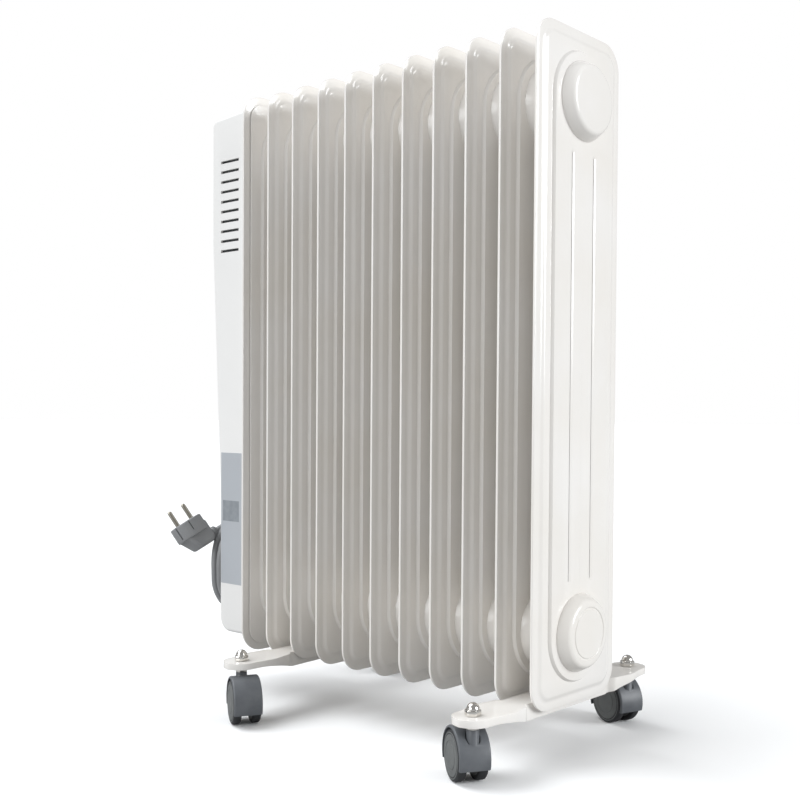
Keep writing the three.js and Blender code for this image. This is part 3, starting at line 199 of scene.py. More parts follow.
# Stoved enamel on steel: glossy and a little warm.
ENAMEL = new_material(
    "white_stoved_enamel", "#E8E5E0", 0.16, drift=("#E7E3DD", "#EAE7E3", 90), IOR=1.5)
# Painted ABS of the control box: satin white.
BOX_WHITE = new_material("white_painted_abs", "#E7E6E4", 0.4, drift=("#E5E4E2", "#E9E8E6", 120))
# Moulded nylon of the casters' hoods: mid grey, satin.
NYLON = new_material(
    "grey_moulded_nylon", "#6A6C6F", 0.42,
    stir=(0.6, 0.015, (0.36, 0.5)), drift=("#585B5F", "#616468", 14))
# Hard polyurethane of the wheels: a shade lighter and duller than the hoods.
WHEEL_GREY = new_material(
    "grey_polyurethane", "#7C7E7D", 0.5,
    stir=(0.8, 0.015, (0.44, 0.58)), drift=("#5F6161", "#696B6A", 12))
# Dark polyurethane of the wheels' treads, dulled by the floor.
TYRE = new_material("dark_polyurethane", "#2C2D2F", 0.55, stir=(0.9, 0.02, (0.5, 0.66)))
# Soft PVC of the cord and plug: grey, slightly waxy.
PVC = new_material(
    "grey_soft_pvc", "#808182", 0.48,
    stir=(0.9, 0.02, (0.42, 0.55)), drift=("#8A8B8D", "#949596", 25))
# Bright nickel-plated steel of the nuts and bolts: mirror-like, its polish a little uneven.
ZINC = new_material("bright_nickel_plate", "#DDDAD5", 0.1, 1.0, stir=(2, 0.002, (0.07, 0.14)))
# Nickel-plated brass of the plug's pins: pale and polished, a little warm.
PIN_METAL = new_material(
    "nickel_plated_brass", "#B2ADA2", 0.16, 1.0, stir=(0.5, 0.004, (0.12, 0.24)))
# Dark grey ABS of the knob and of the parts inside the box. The dark sheets behind the vent slots
# also use it, as painted shade.
DARK_ABS = new_material("dark_grey_abs", "#2B2C2E", 0.4, stir=(0.6, 0.01, (0.3, 0.44)))
# Red polycarbonate of the rockers and the lamp, under a clear gloss.
RED = new_material(
    "red_polycarbonate", "#A82A22", 0.2,
    stir=(4, 0.01), Coat_Weight=0.5, Coat_Roughness=0.08)
# Bare aluminised polyester of the sticker: pale silver with a faint grain.
STICKER = new_material(
    "silver_polyester_film", "#B6BABF", 0.38, 0.2, stir=(0.8, 0.006, (0.32, 0.44)))
# The tinted field printed on the sticker.
STICKER_INK = new_material(
    "grey_printed_field", "#8D9297", 0.45, 0.1, drift=("#888D92", "#92979C", 6))
SLOT_FINISH = {
    "white_enamel": ENAMEL,
    "box_plastic": BOX_WHITE,
    "grey_plastic": NYLON,
    "wheel_plastic": WHEEL_GREY,
    "cord_grey": PVC,
    "zinc_steel": ZINC,
    "plated_brass": PIN_METAL,
    "dark_plastic": DARK_ABS,
    "signal_red": RED,
}


def coat(piece, material):
    """Gives the piece one material and no other."""
    piece.data.materials.clear()
    piece.data.materials.append(material)


def finish_cad_nodes():
    """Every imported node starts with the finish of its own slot."""
    slots = {row["node"]: row["material_slot"] for row in frame["record"]["subparts"]}
    for name, piece in frame["nodes"].items():
        coat(piece, SLOT_FINISH[slots[name]])


finish_cad_nodes()


# ---------------- modelling helpers
def near(value, target):
    """Whether two lengths agree to a twentieth of a millimetre."""
    return abs(value - target) < 0.05 * MM


def deselect():
    """Object mode with nothing selected."""
    if bpy.context.object and bpy.context.object.mode != "OBJECT":
        bpy.ops.object.mode_set(mode="OBJECT")
    bpy.ops.object.select_all(action="DESELECT")


def choose(piece):
    """Object mode with one piece active and selected."""
    deselect()
    bpy.context.view_layer.objects.active = piece
    piece.select_set(True)


def edit(piece):
    """Edit mode on one piece with nothing selected."""
    choose(piece)
    bpy.ops.object.mode_set(mode="EDIT")
    bpy.ops.mesh.select_mode(type="FACE")
    bpy.ops.mesh.select_all(action="DESELECT")


def leave_edit():
    """Back to object mode."""
    bpy.ops.object.mode_set(mode="OBJECT")


def settle(piece):
    """Puts the piece's place, turn and size into its mesh."""
    choose(piece)
    bpy.ops.object.transform_apply(location=True, rotation=True, scale=True)


def pick_faces(piece, wanted):
    """Selects, in edit mode, the faces that a test of centre and normal wants."""
    leave_edit()
    for face in piece.data.polygons:
        face.select = wanted(face.center, face.normal)
    bpy.ops.object.mode_set(mode="EDIT")


def pick_edges(piece, wanted):
    """Selects, in edit mode, the edges that a test of their two ends wants."""
    leave_edit()
    points = piece.data.vertices
    for face in piece.data.polygons:
        face.select = False
    for vertex in points:
        vertex.select = False
    for line in piece.data.edges:
        line.select = wanted(points[line.vertices[0]].co, points[line.vertices[1]].co)
    bpy.ops.object.mode_set(mode="EDIT")
    bpy.ops.mesh.select_mode(type="EDGE")


def apply_modifier(piece, kind, **settings):
    """Adds one modifier with its settings and applies it."""
    choose(piece)
    modifier = piece.modifiers.new(kind.lower(), kind)
    for name, value in settings.items():
        setattr(modifier, name, value)
    bpy.ops.object.modifier_apply(modifier=modifier.name)


def combine(piece, others, operation="UNION"):
    """Joins the other solids to the piece, or cuts them out of it, and removes them."""
    for other in others:
        apply_modifier(piece, "BOOLEAN", operation=operation, object=other, solver="MANIFOLD")
        bpy.data.objects.remove(other, do_unlink=True)


def soften(piece, width, segments=2, angle=28):
    """Rounds the sharp edges and shades what is left smooth."""
    apply_modifier(
        piece,
        "BEVEL",
        width=width * MM,
        segments=segments,
        limit_method="ANGLE",
        angle_limit=math.radians(angle),
        harden_normals=False,
        miter_outer="MITER_ARC",
        use_clamp_overlap=True,
    )
    smooth_over(piece)


def smooth_over(piece, angle=35):
    """Shades smooth across the edges that turn by less than an angle."""
    choose(piece)
    bpy.ops.object.shade_smooth_by_angle(angle=math.radians(angle))


def hand_over(piece, name, material, body, nodes=()):
    """Names and coats a finished piece, and sets it on its body in place of its nodes."""
    piece.name = name
    piece.data.name = name
    coat(piece, material)
    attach(piece, body)
    if nodes:
        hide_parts(*nodes)
    return piece


def copy_piece(piece, shift=(0, 0, 0)):
    """A copy with its own mesh, moved by millimetres."""
    twin = piece.copy()
    twin.data = piece.data.copy()
    twin.data.transform(Matrix.Translation(Vector(shift) * MM))
    bpy.context.scene.collection.objects.link(twin)
    return twin


def cube(name, low, high):
    """A block between two corners, in millimetres of the heater."""
    size = [b - a for a, b in zip(low, high)]
    middle = [(a + b) / 2 for a, b in zip(low, high)]
    deselect()
    bpy.ops.mesh.primitive_cube_add(size=1, location=place(*middle))
    piece = bpy.context.object
    piece.name = name
    piece.scale = [s * MM for s in size]
    settle(piece)
    return piece


ALONG_X = (0, math.pi / 2, 0)
TOUCHING = 1e-6              # in metres: closer than this, two points are one


def drum(name, centre, radius, length, sides):
    """A cylinder along X, about its centre, in millimetres."""
    deselect()
    bpy.ops.mesh.primitive_cylinder_add(
        vertices=sides,
        radius=radius * MM,
        depth=length * MM,
        location=place(*centre),
        rotation=ALONG_X,
    )
    piece = bpy.context.object
    piece.name = name
    settle(piece)
    return piece


def step_face(piece, direction, steps):
    """Insets the faces that look one way, again and again: each step is (run, rise)."""
    way = Vector(direction)
    edit(piece)
    pick_faces(piece, lambda centre, normal: normal.dot(way) > 0.99)
    for run, rise in steps:
        bpy.ops.mesh.inset(thickness=run * MM, depth=rise * MM, use_boundary=True)
    leave_edit()


def slab(name, centre, half, width, height, radius, segments):
    """A plate across X with round corners: its middle, half thickness and outline."""
    x, y, z = centre
    low = (x - half, y - width / 2, z - height / 2)
    high = (x + half, y + width / 2, z + height / 2)
    piece = cube(name, low, high)
    edit(piece)

    def corner(a, b):
        return abs(a.y - b.y) < TOUCHING and abs(a.z - b.z) < TOUCHING

    pick_edges(piece, corner)
    bpy.ops.mesh.bevel(
        offset=radius * MM,
        segments=segments,
        profile=0.5,
        affect="EDGES",
        clamp_overlap=False,
    )
    bpy.ops.mesh.select_all(action="SELECT")
    bpy.ops.mesh.remove_doubles(threshold=TOUCHING)
    leave_edit()
    return piece


def join(piece, others):
    """Puts other shells into the piece's own mesh."""
    deselect()
    for other in others:
        other.select_set(True)
    piece.select_set(True)
    bpy.context.view_layer.objects.active = piece
    bpy.ops.object.join()
    return piece


# ---------------- cord
CORD_DIAMETER = 8
HANK_CENTRE_Z = 128
HANK_STRAIGHT = 11
HANK_OUTER_R = 46
HANK_INNER_R = 26.5
HANK_ROWS = (-56.3, -69.8)
HANK_START = 150
HANK_BULGE = 5.5
HANK_LIFT = 0.41             # how much higher a tighter turn hangs, over the winder
TURNS_A_ROW = 2
POINTS_A_TURN = 24
TURN_NUDGE = 0.01            # in degrees: keeps every point off the level of its centre
LEAD_UP = 35.9
LEAD_STEPS = 4
TAIL_ROUTE = (
    (-78.4, 42, 141),
    (-78.4, 39.3, 153.8),
    (-78.4, 33, 165),
    (-78.4, 24, 173.5),
    (-78.4, 13, 179),
    (-78.4, 2, 180.9),
    (-78.4, -8, 178.9),
    (-78.7, -18, 174.6),
    (-79.4, -27, 170),
    (-80, -35.2, 166),
)


def hank_point(angle, radius, x):
    """A point of a turn: a half circle over and under, joined by short straight sides."""
    turn = math.radians(angle)
    rise = math.sin(turn)
    centre = HANK_CENTRE_Z + math.copysign(HANK_STRAIGHT, rise)
    if rise > 0:
        centre += HANK_LIFT * (HANK_OUTER_R - radius) * min(rise * 3, 1)
    return (x, radius * math.cos(turn), centre + radius * rise)


def lead_points():
    """The lead, straight from the gland's relief onto the hank's first turn."""
    turn = math.radians(HANK_START)
    _, foot_y, foot_z = hank_point(HANK_START, HANK_OUTER_R, 0)
    ups = [LEAD_UP * (1 - step / LEAD_STEPS) for step in range(LEAD_STEPS)]
    return [
        (HANK_ROWS[0], foot_y + up * math.sin(turn), foot_z - up * math.cos(turn))
        for up in ups
    ]


def hank_points():
    """Turns that spiral in on the row by the box, cross over and spiral out again."""
    points = []
    step = 360 / POINTS_A_TURN
    inward = TURNS_A_ROW * 360
    across = 180
    outward = inward + across + TURNS_A_ROW * 360
    near_row, far_row = HANK_ROWS
    depth = HANK_OUTER_R - HANK_INNER_R
    for number in range(int(outward / step) + 1):
        run = number * step
        in_share = min(run / inward, 1)
        cross_share = min(max((run - inward) / across, 0), 1)
        out_share = max((run - inward - across) / inward, 0)
        radius = HANK_OUTER_R - depth * in_share + depth * out_share
        drift = (1 - math.cos(math.pi * cross_share)) / 2
        x = near_row + (far_row - near_row) * drift
        turn = HANK_START + run + TURN_NUDGE
        slack = max(-math.cos(math.radians(turn)), 0) ** 2
        first_pass = math.sin(math.radians(2 * run)) if run < 90 else 0
        bulge = HANK_BULGE * slack * (out_share + first_pass)
        points.append(hank_point(turn, radius, x - bulge))
    return points


TAIL_CLIMB = ((-71.2, 44.9, 106), (-73.8, 45.3, 118), (-76.8, 43.9, 130))


def add_cord():
    """One cord: the lead, the hank's turns and the last turn up to the plug."""
    points = lead_points() + hank_points() + list(TAIL_CLIMB) + list(TAIL_ROUTE)
    data = bpy.data.curves.new("mains_cord", "CURVE")
    data.dimensions = "3D"
    data.resolution_u = 5
    data.bevel_depth = CORD_DIAMETER / 2 * MM
    data.bevel_resolution = 6
    data.use_fill_caps = True
    spline = data.splines.new("BEZIER")
    spline.bezier_points.add(len(points) - 1)
    for knot, point in zip(spline.bezier_points, points):
        knot.co = place(*point)
        knot.handle_left_type = "AUTO"
        knot.handle_right_type = "AUTO"
    cord = bpy.data.objects.new("mains_cord", data)
    bpy.context.scene.collection.objects.link(cord)
    data.materials.append(PVC)
    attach(cord, "heater")
    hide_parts("cord_lead", "cord_tail", "cord_hank")
    return cord, place(*points[0])


CORD, CORD_EXIT = add_cord()


# ---------------- plug
PLUG_FACE = (-91.4, -69.7, 177)
PLUG_R = 18.5
PLUG_RIM = 18
PLUG_HALF = 13
PLUG_BACK = 33.6
PLUG_TURNS = ((43, "Y"), (33.4, "Z"), (90, "X"), (40.8, "Z"))
GRIP_LOW = (3.6 - PLUG_R, -PLUG_BACK, -PLUG_HALF)
GRIP_HIGH = (PLUG_R - 2, -8, PLUG_HALF)
GRIP_CUTS = (
    ((10.5 - PLUG_R, -27, 0), (-0.86, -0.5, 0)),
    ((PLUG_R - 4, -PLUG_BACK + 2, 0), (0.7, -0.7, 0)),
)
PLUG_FACE_STEPS = ((1.6, 0), (0.5, -0.7), (1.2, 0), (0.5, 0.7))
RELIEF_RIBS = (19.2, 20.8, 23.2, 24.8)
PIN_R = 2.4
PIN_LENGTH = 19
PIN_ROOT = 3.6               # how deep a pin starts behind the plug's front
PIN_SPACING = 19
RELIEF_R = 7.4
RELIEF_TIP_R = 5
RELIEF_LENGTH = 27
RELIEF_BEHIND = 26.3
PLUG_SLOT_HALF = 0.55
PLUG_SLOTS = ((-5.2, 15.6, 12.5), (-16.9, 4.5, 15))


def plug_place():
    """The plug's own axes in the frame: X along its pins' spacing, Y the way they point."""
    turn = Matrix.Identity(4)
    for degrees, axis in PLUG_TURNS:
        turn = Matrix.Rotation(math.radians(degrees), 4, axis) @ turn
    return Matrix.Translation(place(*PLUG_FACE)) @ turn


def lathe(name, profile, sides=48):
    """A turned solid up the Z axis at the frame's origin: profile is (radius, height)."""
    deselect()
    radius, height = profile[0]
    bpy.ops.mesh.primitive_circle_add(
        vertices=sides,
        radius=radius * MM,
        fill_type="NGON",
        location=(0, 0, height * MM),
    )
    piece = bpy.context.object
    piece.name = name
    settle(piece)
    edit(piece)
    bpy.ops.mesh.select_all(action="SELECT")
    for wider, higher in profile[1:]:
        rise = (higher - height) * MM
        bpy.ops.mesh.extrude_region_move(TRANSFORM_OT_translate={"value": (0, 0, rise)})
        grow = wider / radius
        middle = (0, 0, higher * MM)
        bpy.ops.transform.resize(value=(grow, grow, 1), center_override=middle)
        radius, height = wider, higher
    bpy.ops.mesh.select_all(action="SELECT")
    bpy.ops.mesh.normals_make_consistent(inside=False)
    leave_edit()
    return piece


def block(name, low, high):
    """A block between two corners in millimetres of a piece's own axes."""
    deselect()
    middle = [(a + b) / 2 * MM for a, b in zip(low, high)]
    bpy.ops.mesh.primitive_cube_add(size=1, location=middle)
    piece = bpy.context.object
    piece.name = name
    piece.scale = [(b - a) * MM for a, b in zip(low, high)]
    settle(piece)
    return piece


def shave(piece, point, direction):
    """Cuts away what lies past a plane, and closes the cut."""
    edit(piece)
    bpy.ops.mesh.select_all(action="SELECT")
    bpy.ops.mesh.bisect(
        plane_co=[v * MM for v in point],
        plane_no=direction,
        use_fill=True,
        clear_outer=True,
    )
    leave_edit()


def plug_relief():
    """The plug's tapered relief with two groups of ribs towards its tip."""
    profile = [(RELIEF_R - 1, 4), (RELIEF_R, 5), (RELIEF_R, 18)]
    for rib in RELIEF_RIBS:
        profile += [(6.6, rib - 0.5), (6.9, rib - 0.3), (6.9, rib + 0.4), (6.1, rib + 0.6)]
    profile += [(RELIEF_TIP_R + 0.4, RELIEF_LENGTH - 0.6), (RELIEF_TIP_R, RELIEF_LENGTH)]
    return lathe("relief", profile, 40)


def add_plug():
    """The angled moulded plug: round front, slanted grip and ribbed relief out of its side."""
    where = plug_place()
    front = lathe("front", [(PLUG_R, -PLUG_RIM), (PLUG_R, 0)], 72)
    soften(front, 1.4, 4)
    edit(front)
    pick_faces(front, lambda centre, normal: normal.z > 0.99)
    for run, rise in PLUG_FACE_STEPS:
        bpy.ops.mesh.inset(thickness=run * MM, depth=rise * MM)
    leave_edit()
    front.data.transform(Matrix.Rotation(-math.pi / 2, 4, "X"))
    grip = block("grip", GRIP_LOW, GRIP_HIGH)
    for point, direction in GRIP_CUTS:
        shave(grip, point, direction)
    soften(grip, 3, 5)
    relief = plug_relief()
    turn = Matrix.Rotation(math.pi / 2, 4, "Y")
    relief.data.transform(Matrix.Translation((0, -RELIEF_BEHIND * MM, 0)) @ turn)
    slots = []
    for edge, floor, length in PLUG_SLOTS:
        low = (edge - PLUG_SLOT_HALF, -length, floor)
        slots.append(block("slot", low, (edge + PLUG_SLOT_HALF, 1, PLUG_R + 1)))
    combine(front, slots, "DIFFERENCE")
    plug = join(front, [grip, relief])
    smooth_over(plug, 34)
    plug.data.transform(where)
    hand_over(plug, "moulded_plug", PVC, "heater", ["plug_body"])
    pins = []
    for side, name in ((-1, "plug_pin_left"), (1, "plug_pin_right")):
        profile = [(PIN_R, -PIN_ROOT), (PIN_R, PIN_LENGTH - 1.8), (PIN_R * 0.86, PIN_LENGTH - 0.8),
                   (PIN_R * 0.5, PIN_LENGTH - 0.1), (PIN_R * 0.2, PIN_LENGTH)]
        pin = lathe("pin", profile, 24)
        pin.data.transform(Matrix.Rotation(-math.pi / 2, 4, "X"))
        pin.data.transform(Matrix.Translation((side * PIN_SPACING / 2 * MM, 0, 0)))
        smooth_over(pin, 40)
        pin.data.transform(where)
        pins.append(hand_over(pin, name + "_plated", PIN_METAL, "heater", [name]))
    return [plug, *pins]


PLUG_PIECES = add_plug()


# ---------------- fins
SEAM_WIDTH = 6
SEAM_ROUND = 0.5
FIN_SLOPE = ((1.3, 0.06), (1.3, 0.3), (1.3, 0.64), (1.3, 0.64), (1.3, 0.36))
FIN_SMOOTH = 32
SHOULDER_HALF = 3.2
PANEL_SUNK = 0.5
PANEL_ROUND = 0.9
DRUM_SUNK = 1
DRUM_ROUND = 0.5
CUP_ROUND = 2.6
PANEL_WALL = 2.2
CHANNEL_DEPTH = 0.6
CHANNEL_LOW = HEADERS[0] + HEADER_BASE_R + 8
CHANNEL_HIGH = HEADERS[1] - HEADER_BASE_R - 8
GROOVE_WIDTH = 12.2
GROOVE_CORNER = 6.08
GROOVE_SLOPE = 5.2
GROOVE_STEP = 1.5
SHIELD_BAND = 6.3
OIL_BORE_R = 17
NECK_R = 27
NECK_REACH = 9
NECK_GAP = 3
NECK_SUNK = 1


def channel_cutter(y, side):
    """A slot-shaped cutter with sloping walls for one pressed groove."""
    middle = (CHANNEL_LOW + CHANNEL_HIGH) / 2
    floor = PANEL_HALF - CHANNEL_DEPTH
    height = CHANNEL_HIGH - CHANNEL_LOW + 5
    centre = (side * (floor + 2 * GROOVE_STEP), y, middle)
    cutter = slab("groove", centre, GROOVE_STEP, GROOVE_WIDTH, height, GROOVE_CORNER, 8)
    step_face(cutter, (-side, 0, 0), [(GROOVE_SLOPE, GROOVE_STEP)])
    return cutter


def oil_panel():
    """The raised oil panel: a stadium with a steep wall and two grooves on each face."""
    width = 2 * PANEL_RADIUS
    height = HEADERS[1] - HEADERS[0] + width
    middle = (HEADERS[0] + HEADERS[1]) / 2
    half = SHOULDER_HALF - PANEL_SUNK
    panel = slab("panel", (0, 0, middle), half, width, height, PANEL_RADIUS - 0.02, 24)
    for side in (-1, 1):
        step_face(panel, (side, 0, 0), [(PANEL_WALL, PANEL_HALF - SHOULDER_HALF + PANEL_SUNK)])
    cutters = [channel_cutter(side * CHANNEL_Y, face) for side in (-1, 1) for face in (-1, 1)]
    combine(panel, cutters, "DIFFERENCE")
    soften(panel, PANEL_ROUND, 3, 10)
    return panel


def header_drum(height, reach, side, edge):
    """One header boss: a flared base, a round wall and a face with a rounded edge."""
    length = reach - PANEL_HALF + DRUM_SUNK
    centre = (side * (PANEL_HALF - DRUM_SUNK + length / 2), 0, height)
    boss = drum("boss", centre, HEADER_FACE_R, length, 72)
    grow = HEADER_BASE_R / HEADER_FACE_R
    edit(boss)
    pick_faces(boss, lambda middle, normal: normal.x * side < -0.99)
    bpy.ops.transform.resize(value=(1, grow, grow), center_override=place(0, 0, height))
    leave_edit()
    apply_modifier(
        boss,
        "BEVEL",
        width=edge * MM,
        segments=4,
        limit_method="ANGLE",
        angle_limit=math.radians(50),
    )
    return boss


def fin_plate():
    """The fin's sheet: flat seam all round and a soft slope up to the shoulder."""
    plate = slab("fin", (0, 0, FIN_MIDDLE), SEAM_HALF, FIN_WIDTH, FIN_HEIGHT, FIN_CORNER, 12)
    for side in (-1, 1):
        step_face(plate, (side, 0, 0), [(SEAM_WIDTH, 0), *FIN_SLOPE])
    soften(plate, SEAM_ROUND, 2)
    return plate


def bore_header(pieces):
    """Bores pieces for the oil way of the lower header, where the heating element lies."""
    for piece in pieces:
        bore = drum("bore", (0, 0, HEADERS[0]), OIL_BORE_R, 2 * FIN_PITCH, 48)
        combine(piece, [bore], "DIFFERENCE")


def middle_fin():
    """A fin of the row, about its own middle plane."""
    plate = fin_plate()
    panel = oil_panel()
    sides = [(height, side) for height in HEADERS for side in (-1, 1)]
    drums = [header_drum(height, HEADER_REACH, side, DRUM_ROUND) for height, side in sides]
    bore_header([plate, panel, *drums[:2]])
    fin = join(plate, [panel, *drums])
    smooth_over(fin, FIN_SMOOTH)
    return fin


def add_middle_fins():
    """One fin modelled, then copied along the row."""
    model = middle_fin()
    for number in range(2, FIN_COUNT):
        name = f"fin_{number:02d}"
        fin = copy_piece(model, ((number - 1) * FIN_PITCH, 0, 0))
        hand_over(fin, f"enamelled_{name}", ENAMEL, "heater", [name])
    bpy.data.objects.remove(model, do_unlink=True)


CUP_RING_R = 22
CUP_RING_HALF = 1.5
CUP_RING_OUT = 0.8


def ring_groove(height, face):
    """A shallow ring pressed in the face of the lower end cup."""
    deselect()
    bpy.ops.mesh.primitive_torus_add(
        major_radius=CUP_RING_R * MM,
        minor_radius=CUP_RING_HALF * MM,
        major_segments=72,
        minor_segments=10,
        location=place(face + CUP_RING_OUT, 0, height),
        rotation=ALONG_X,
    )
    ring = bpy.context.object
    settle(ring)
    return ring


def add_last_fin():
    """The bare end's fin, whose two headers end in closed round cups."""
    plate = fin_plate()
    panel = oil_panel()
    cups = [header_drum(height, END_CUP, 1, CUP_ROUND) for height in HEADERS]
    combine(cups[0], [ring_groove(HEADERS[0], END_CUP)], "DIFFERENCE")
    backs = [header_drum(height, HEADER_REACH, -1, DRUM_ROUND) for height in HEADERS]
    fin = join(plate, [panel, *cups, *backs])
    fin.data.transform(Matrix.Translation(Vector(((FIN_COUNT - 1) * FIN_PITCH, 0, 0)) * MM))
    smooth_over(fin, FIN_SMOOTH)
    name = f"fin_{FIN_COUNT:02d}"
    hand_over(fin, f"enamelled_{name}", ENAMEL, "heater", [name])


SHIELD_HALF = 1.2
SHIELD_OVERHANG = 1.7
FIRST_FIN_BACK = SHIELD_HALF + 0.8


def add_first_fin():
    """The fin that lies flat on the shield."""
    width = FIN_WIDTH - 2 * SHIELD_BAND
    height = FIN_HEIGHT - 2 * SHIELD_BAND
    half = (SHOULDER_HALF - FIRST_FIN_BACK) / 2
    middle = (FIRST_FIN_BACK + half, 0, FIN_MIDDLE)
    plate = slab("fin", middle, half, width, height, FIN_CORNER - SHIELD_BAND, 12)
    soften(plate, 0.7, 3)
    panel = oil_panel()
    edit(panel)
    bpy.ops.mesh.select_all(action="SELECT")
    bpy.ops.mesh.bisect(
        plane_co=place(FIRST_FIN_BACK, 0, 0),
        plane_no=(1, 0, 0),
        use_fill=True,
        clear_inner=True,
    )
    leave_edit()
    drums = [header_drum(level, HEADER_REACH, 1, DRUM_ROUND) for level in HEADERS]
    neck_length = NECK_REACH + FIRST_FIN_BACK + NECK_SUNK
    neck_middle = (neck_length / 2 - NECK_REACH, 0, HEADERS[0])
    neck = drum("neck", neck_middle, NECK_R, neck_length, 72)
    bore_header([plate, panel, drums[0], neck])
    drums.append(neck)
    fin = join(plate, [panel, *drums])
    smooth_over(fin, FIN_SMOOTH)
    hand_over(fin, "enamelled_fin_01", ENAMEL, "heater", ["fin_01"])


def add_shield():
    """The sheet behind the first fin, rolled over at its edge."""
    width = FIN_WIDTH + 2 * SHIELD_OVERHANG
    height = FIN_HEIGHT + 2 * SHIELD_OVERHANG
    radius = FIN_CORNER + SHIELD_OVERHANG
    shield = slab("shield", (0, 0, FIN_MIDDLE), SHIELD_HALF, width, height, radius, 14)
    soften(shield, 0.9, 3)
    hole = drum("hole", (0, 0, HEADERS[0]), NECK_R + NECK_GAP, 20, 48)
    combine(shield, [hole], "DIFFERENCE")
    hand_over(shield, "painted_shield", ENAMEL, "heater", ["rear_shield"])


add_middle_fins()
add_last_fin()
add_first_fin()
add_shield()


# ---------------- control box
BOX_FRONT = -1.5
BOX_TOP = 615
BOX_BOTTOM = 63
BOX_OUTER = BOX_FRONT - 58.5
BOX_LOW_OUTER = BOX_FRONT - 44.5
BOX_TAPER = (203, 478)
BOX_HALF_WIDTH = 58
BOX_WALL = 2.5
BOX_TOP_FALL = 4
BOX_TOP_ROUND = 8
BOX_FOOT_ROUND = 15
BOX_EDGE_ROUND = 4
VENT_TOP = 565.6
VENT_COUNT = 10
VENT_PITCH = 10.48
VENT_HEIGHT = 2.9
VENT_SPAN = (-44.4, -14.9)
VENT_CUT_HALF = BOX_HALF_WIDTH + 5
# The dark sheets behind the vent slots are painted shade: they stand in for the shade inside the
# box.
SHADE_SHEET_GAP = 0.4
SHADE_SHEET_THICK = 0.8
SHADE_SHEET_PAST = 3
SHAFT_OPENING_R = 4.5
LAMP_OPENING_R = 4
GLAND_OPENING_R = 5.3
GLAND_PLACE = (-7.9, 217.3)
ROCKER_ROOM = 1.5


def box_shell(inset, front):
    """The box's outside, or its inside when drawn in by an inset: all rounds in place."""
    top, bottom = BOX_TOP - inset, BOX_BOTTOM + inset
    outer, low = BOX_OUTER + inset, BOX_LOW_OUTER + inset
    half = BOX_HALF_WIDTH - inset
    piece = cube("box", (outer, -half, bottom), (front, half, top))
    edit(piece)
    for level in BOX_TAPER:
        bpy.ops.mesh.select_all(action="SELECT")
        bpy.ops.mesh.bisect(plane_co=place(0, 0, level), plane_no=(0, 0, 1))
    outer_x = place(outer, 0, 0).x
    taper_foot = BOX_TAPER[0] * MM
    pick_edges(piece, lambda a, b: near(a.x, outer_x) and near(b.x, outer_x)
               and max(a.z, b.z) < taper_foot + 1e-5)
    bpy.ops.transform.translate(value=((low - outer) * MM, 0, 0))
    pick_edges(piece, lambda a, b: near(a.x, outer_x) and near(b.x, outer_x)
               and min(a.z, b.z) > top * MM - 1e-5)
    bpy.ops.transform.translate(value=(0, 0, -BOX_TOP_FALL * MM))
    bpy.ops.mesh.bevel(offset=(BOX_TOP_ROUND - inset) * MM, segments=8, affect="EDGES")
    low_x = place(low, 0, 0).x
    pick_edges(piece, lambda a, b: near(a.x, low_x) and near(b.x, low_x)
               and max(a.z, b.z) < bottom * MM + 1e-5)
    bpy.ops.mesh.bevel(offset=(BOX_FOOT_ROUND - inset) * MM, segments=12, affect="EDGES")
    leave_edit()
    return piece


def round_opening(node, radius):
    """A cutter along X through the box's outer wall, in line with a round CAD piece."""
    low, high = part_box(node)
    origin = place(0, 0, 0)
    y, z = (((low[i] + high[i]) / 2 - origin[i]) / MM for i in (1, 2))
    return drum("opening", (BOX_OUTER, y, z), radius, 4 * BOX_WALL, 32)


def control_openings():
    """Cutters for the shaft, the lamp, the gland's neck and the two rockers."""
    cutters = [
        round_opening("thermostat_shaft", SHAFT_OPENING_R),
        round_opening("pilot_lamp", LAMP_OPENING_R),
        drum("opening", (BOX_LOW_OUTER, *GLAND_PLACE), GLAND_OPENING_R, 4 * BOX_WALL, 32),
    ]
    origin = place(0, 0, 0)
    for heat in ("low", "high"):
        low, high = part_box(f"rocker_{heat}_heat")
        (y1, z1), (y2, z2) = ([(end[i] - origin[i]) / MM for i in (1, 2)] for end in (low, high))
        cutters.append(cube(
            "opening",
            (BOX_OUTER - 2 * BOX_WALL, y1 - ROCKER_ROOM, z1 - ROCKER_ROOM),
            (BOX_OUTER + 2 * BOX_WALL, y2 + ROCKER_ROOM, z2 + ROCKER_ROOM),
        ))
    return cutters


def add_control_box():
    """The moulded box: rounded shell, hollow, with ten vent slots in each side."""
    shell = box_shell(0, BOX_FRONT)
    half = BOX_HALF_WIDTH * MM
    middle_y = place(0, 0, 0).y
    front_x = place(BOX_FRONT, 0, 0).x
    edit(shell)

    def side_edge(a, b):
        on_side = near(abs(a.y - middle_y), half) and near(abs(b.y - middle_y), half)
        same_side = (a.y - middle_y) * (b.y - middle_y) > 0
        at_front = near(a.x, front_x) and near(b.x, front_x)
        at_taper = BOX_TAPER[0] * MM - 1e-4 < a.z < BOX_TAPER[1] * MM + 1e-4
        crosses_side = near(a.z, b.z) and abs(a.x - b.x) > 20 * MM and at_taper
        return on_side and same_side and not at_front and not crosses_side

    pick_edges(shell, side_edge)
    bpy.ops.mesh.bevel(offset=BOX_EDGE_ROUND * MM, segments=5, affect="EDGES")
    leave_edit()
    hollow = box_shell(BOX_WALL, 0)
    slots = []
    for number in range(VENT_COUNT):
        top = VENT_TOP - number * VENT_PITCH
        low = (VENT_SPAN[0], -VENT_CUT_HALF, top - VENT_HEIGHT)
        slots.append(cube("slot", low, (VENT_SPAN[1], VENT_CUT_HALF, top)))
    cutter = join(slots[0], slots[1:])
    combine(shell, [hollow, cutter], "DIFFERENCE")
    combine(shell, control_openings(), "DIFFERENCE")
    smooth_over(shell, 30)
    hand_over(shell, "moulded_box", BOX_WHITE, "heater", ["control_box"])


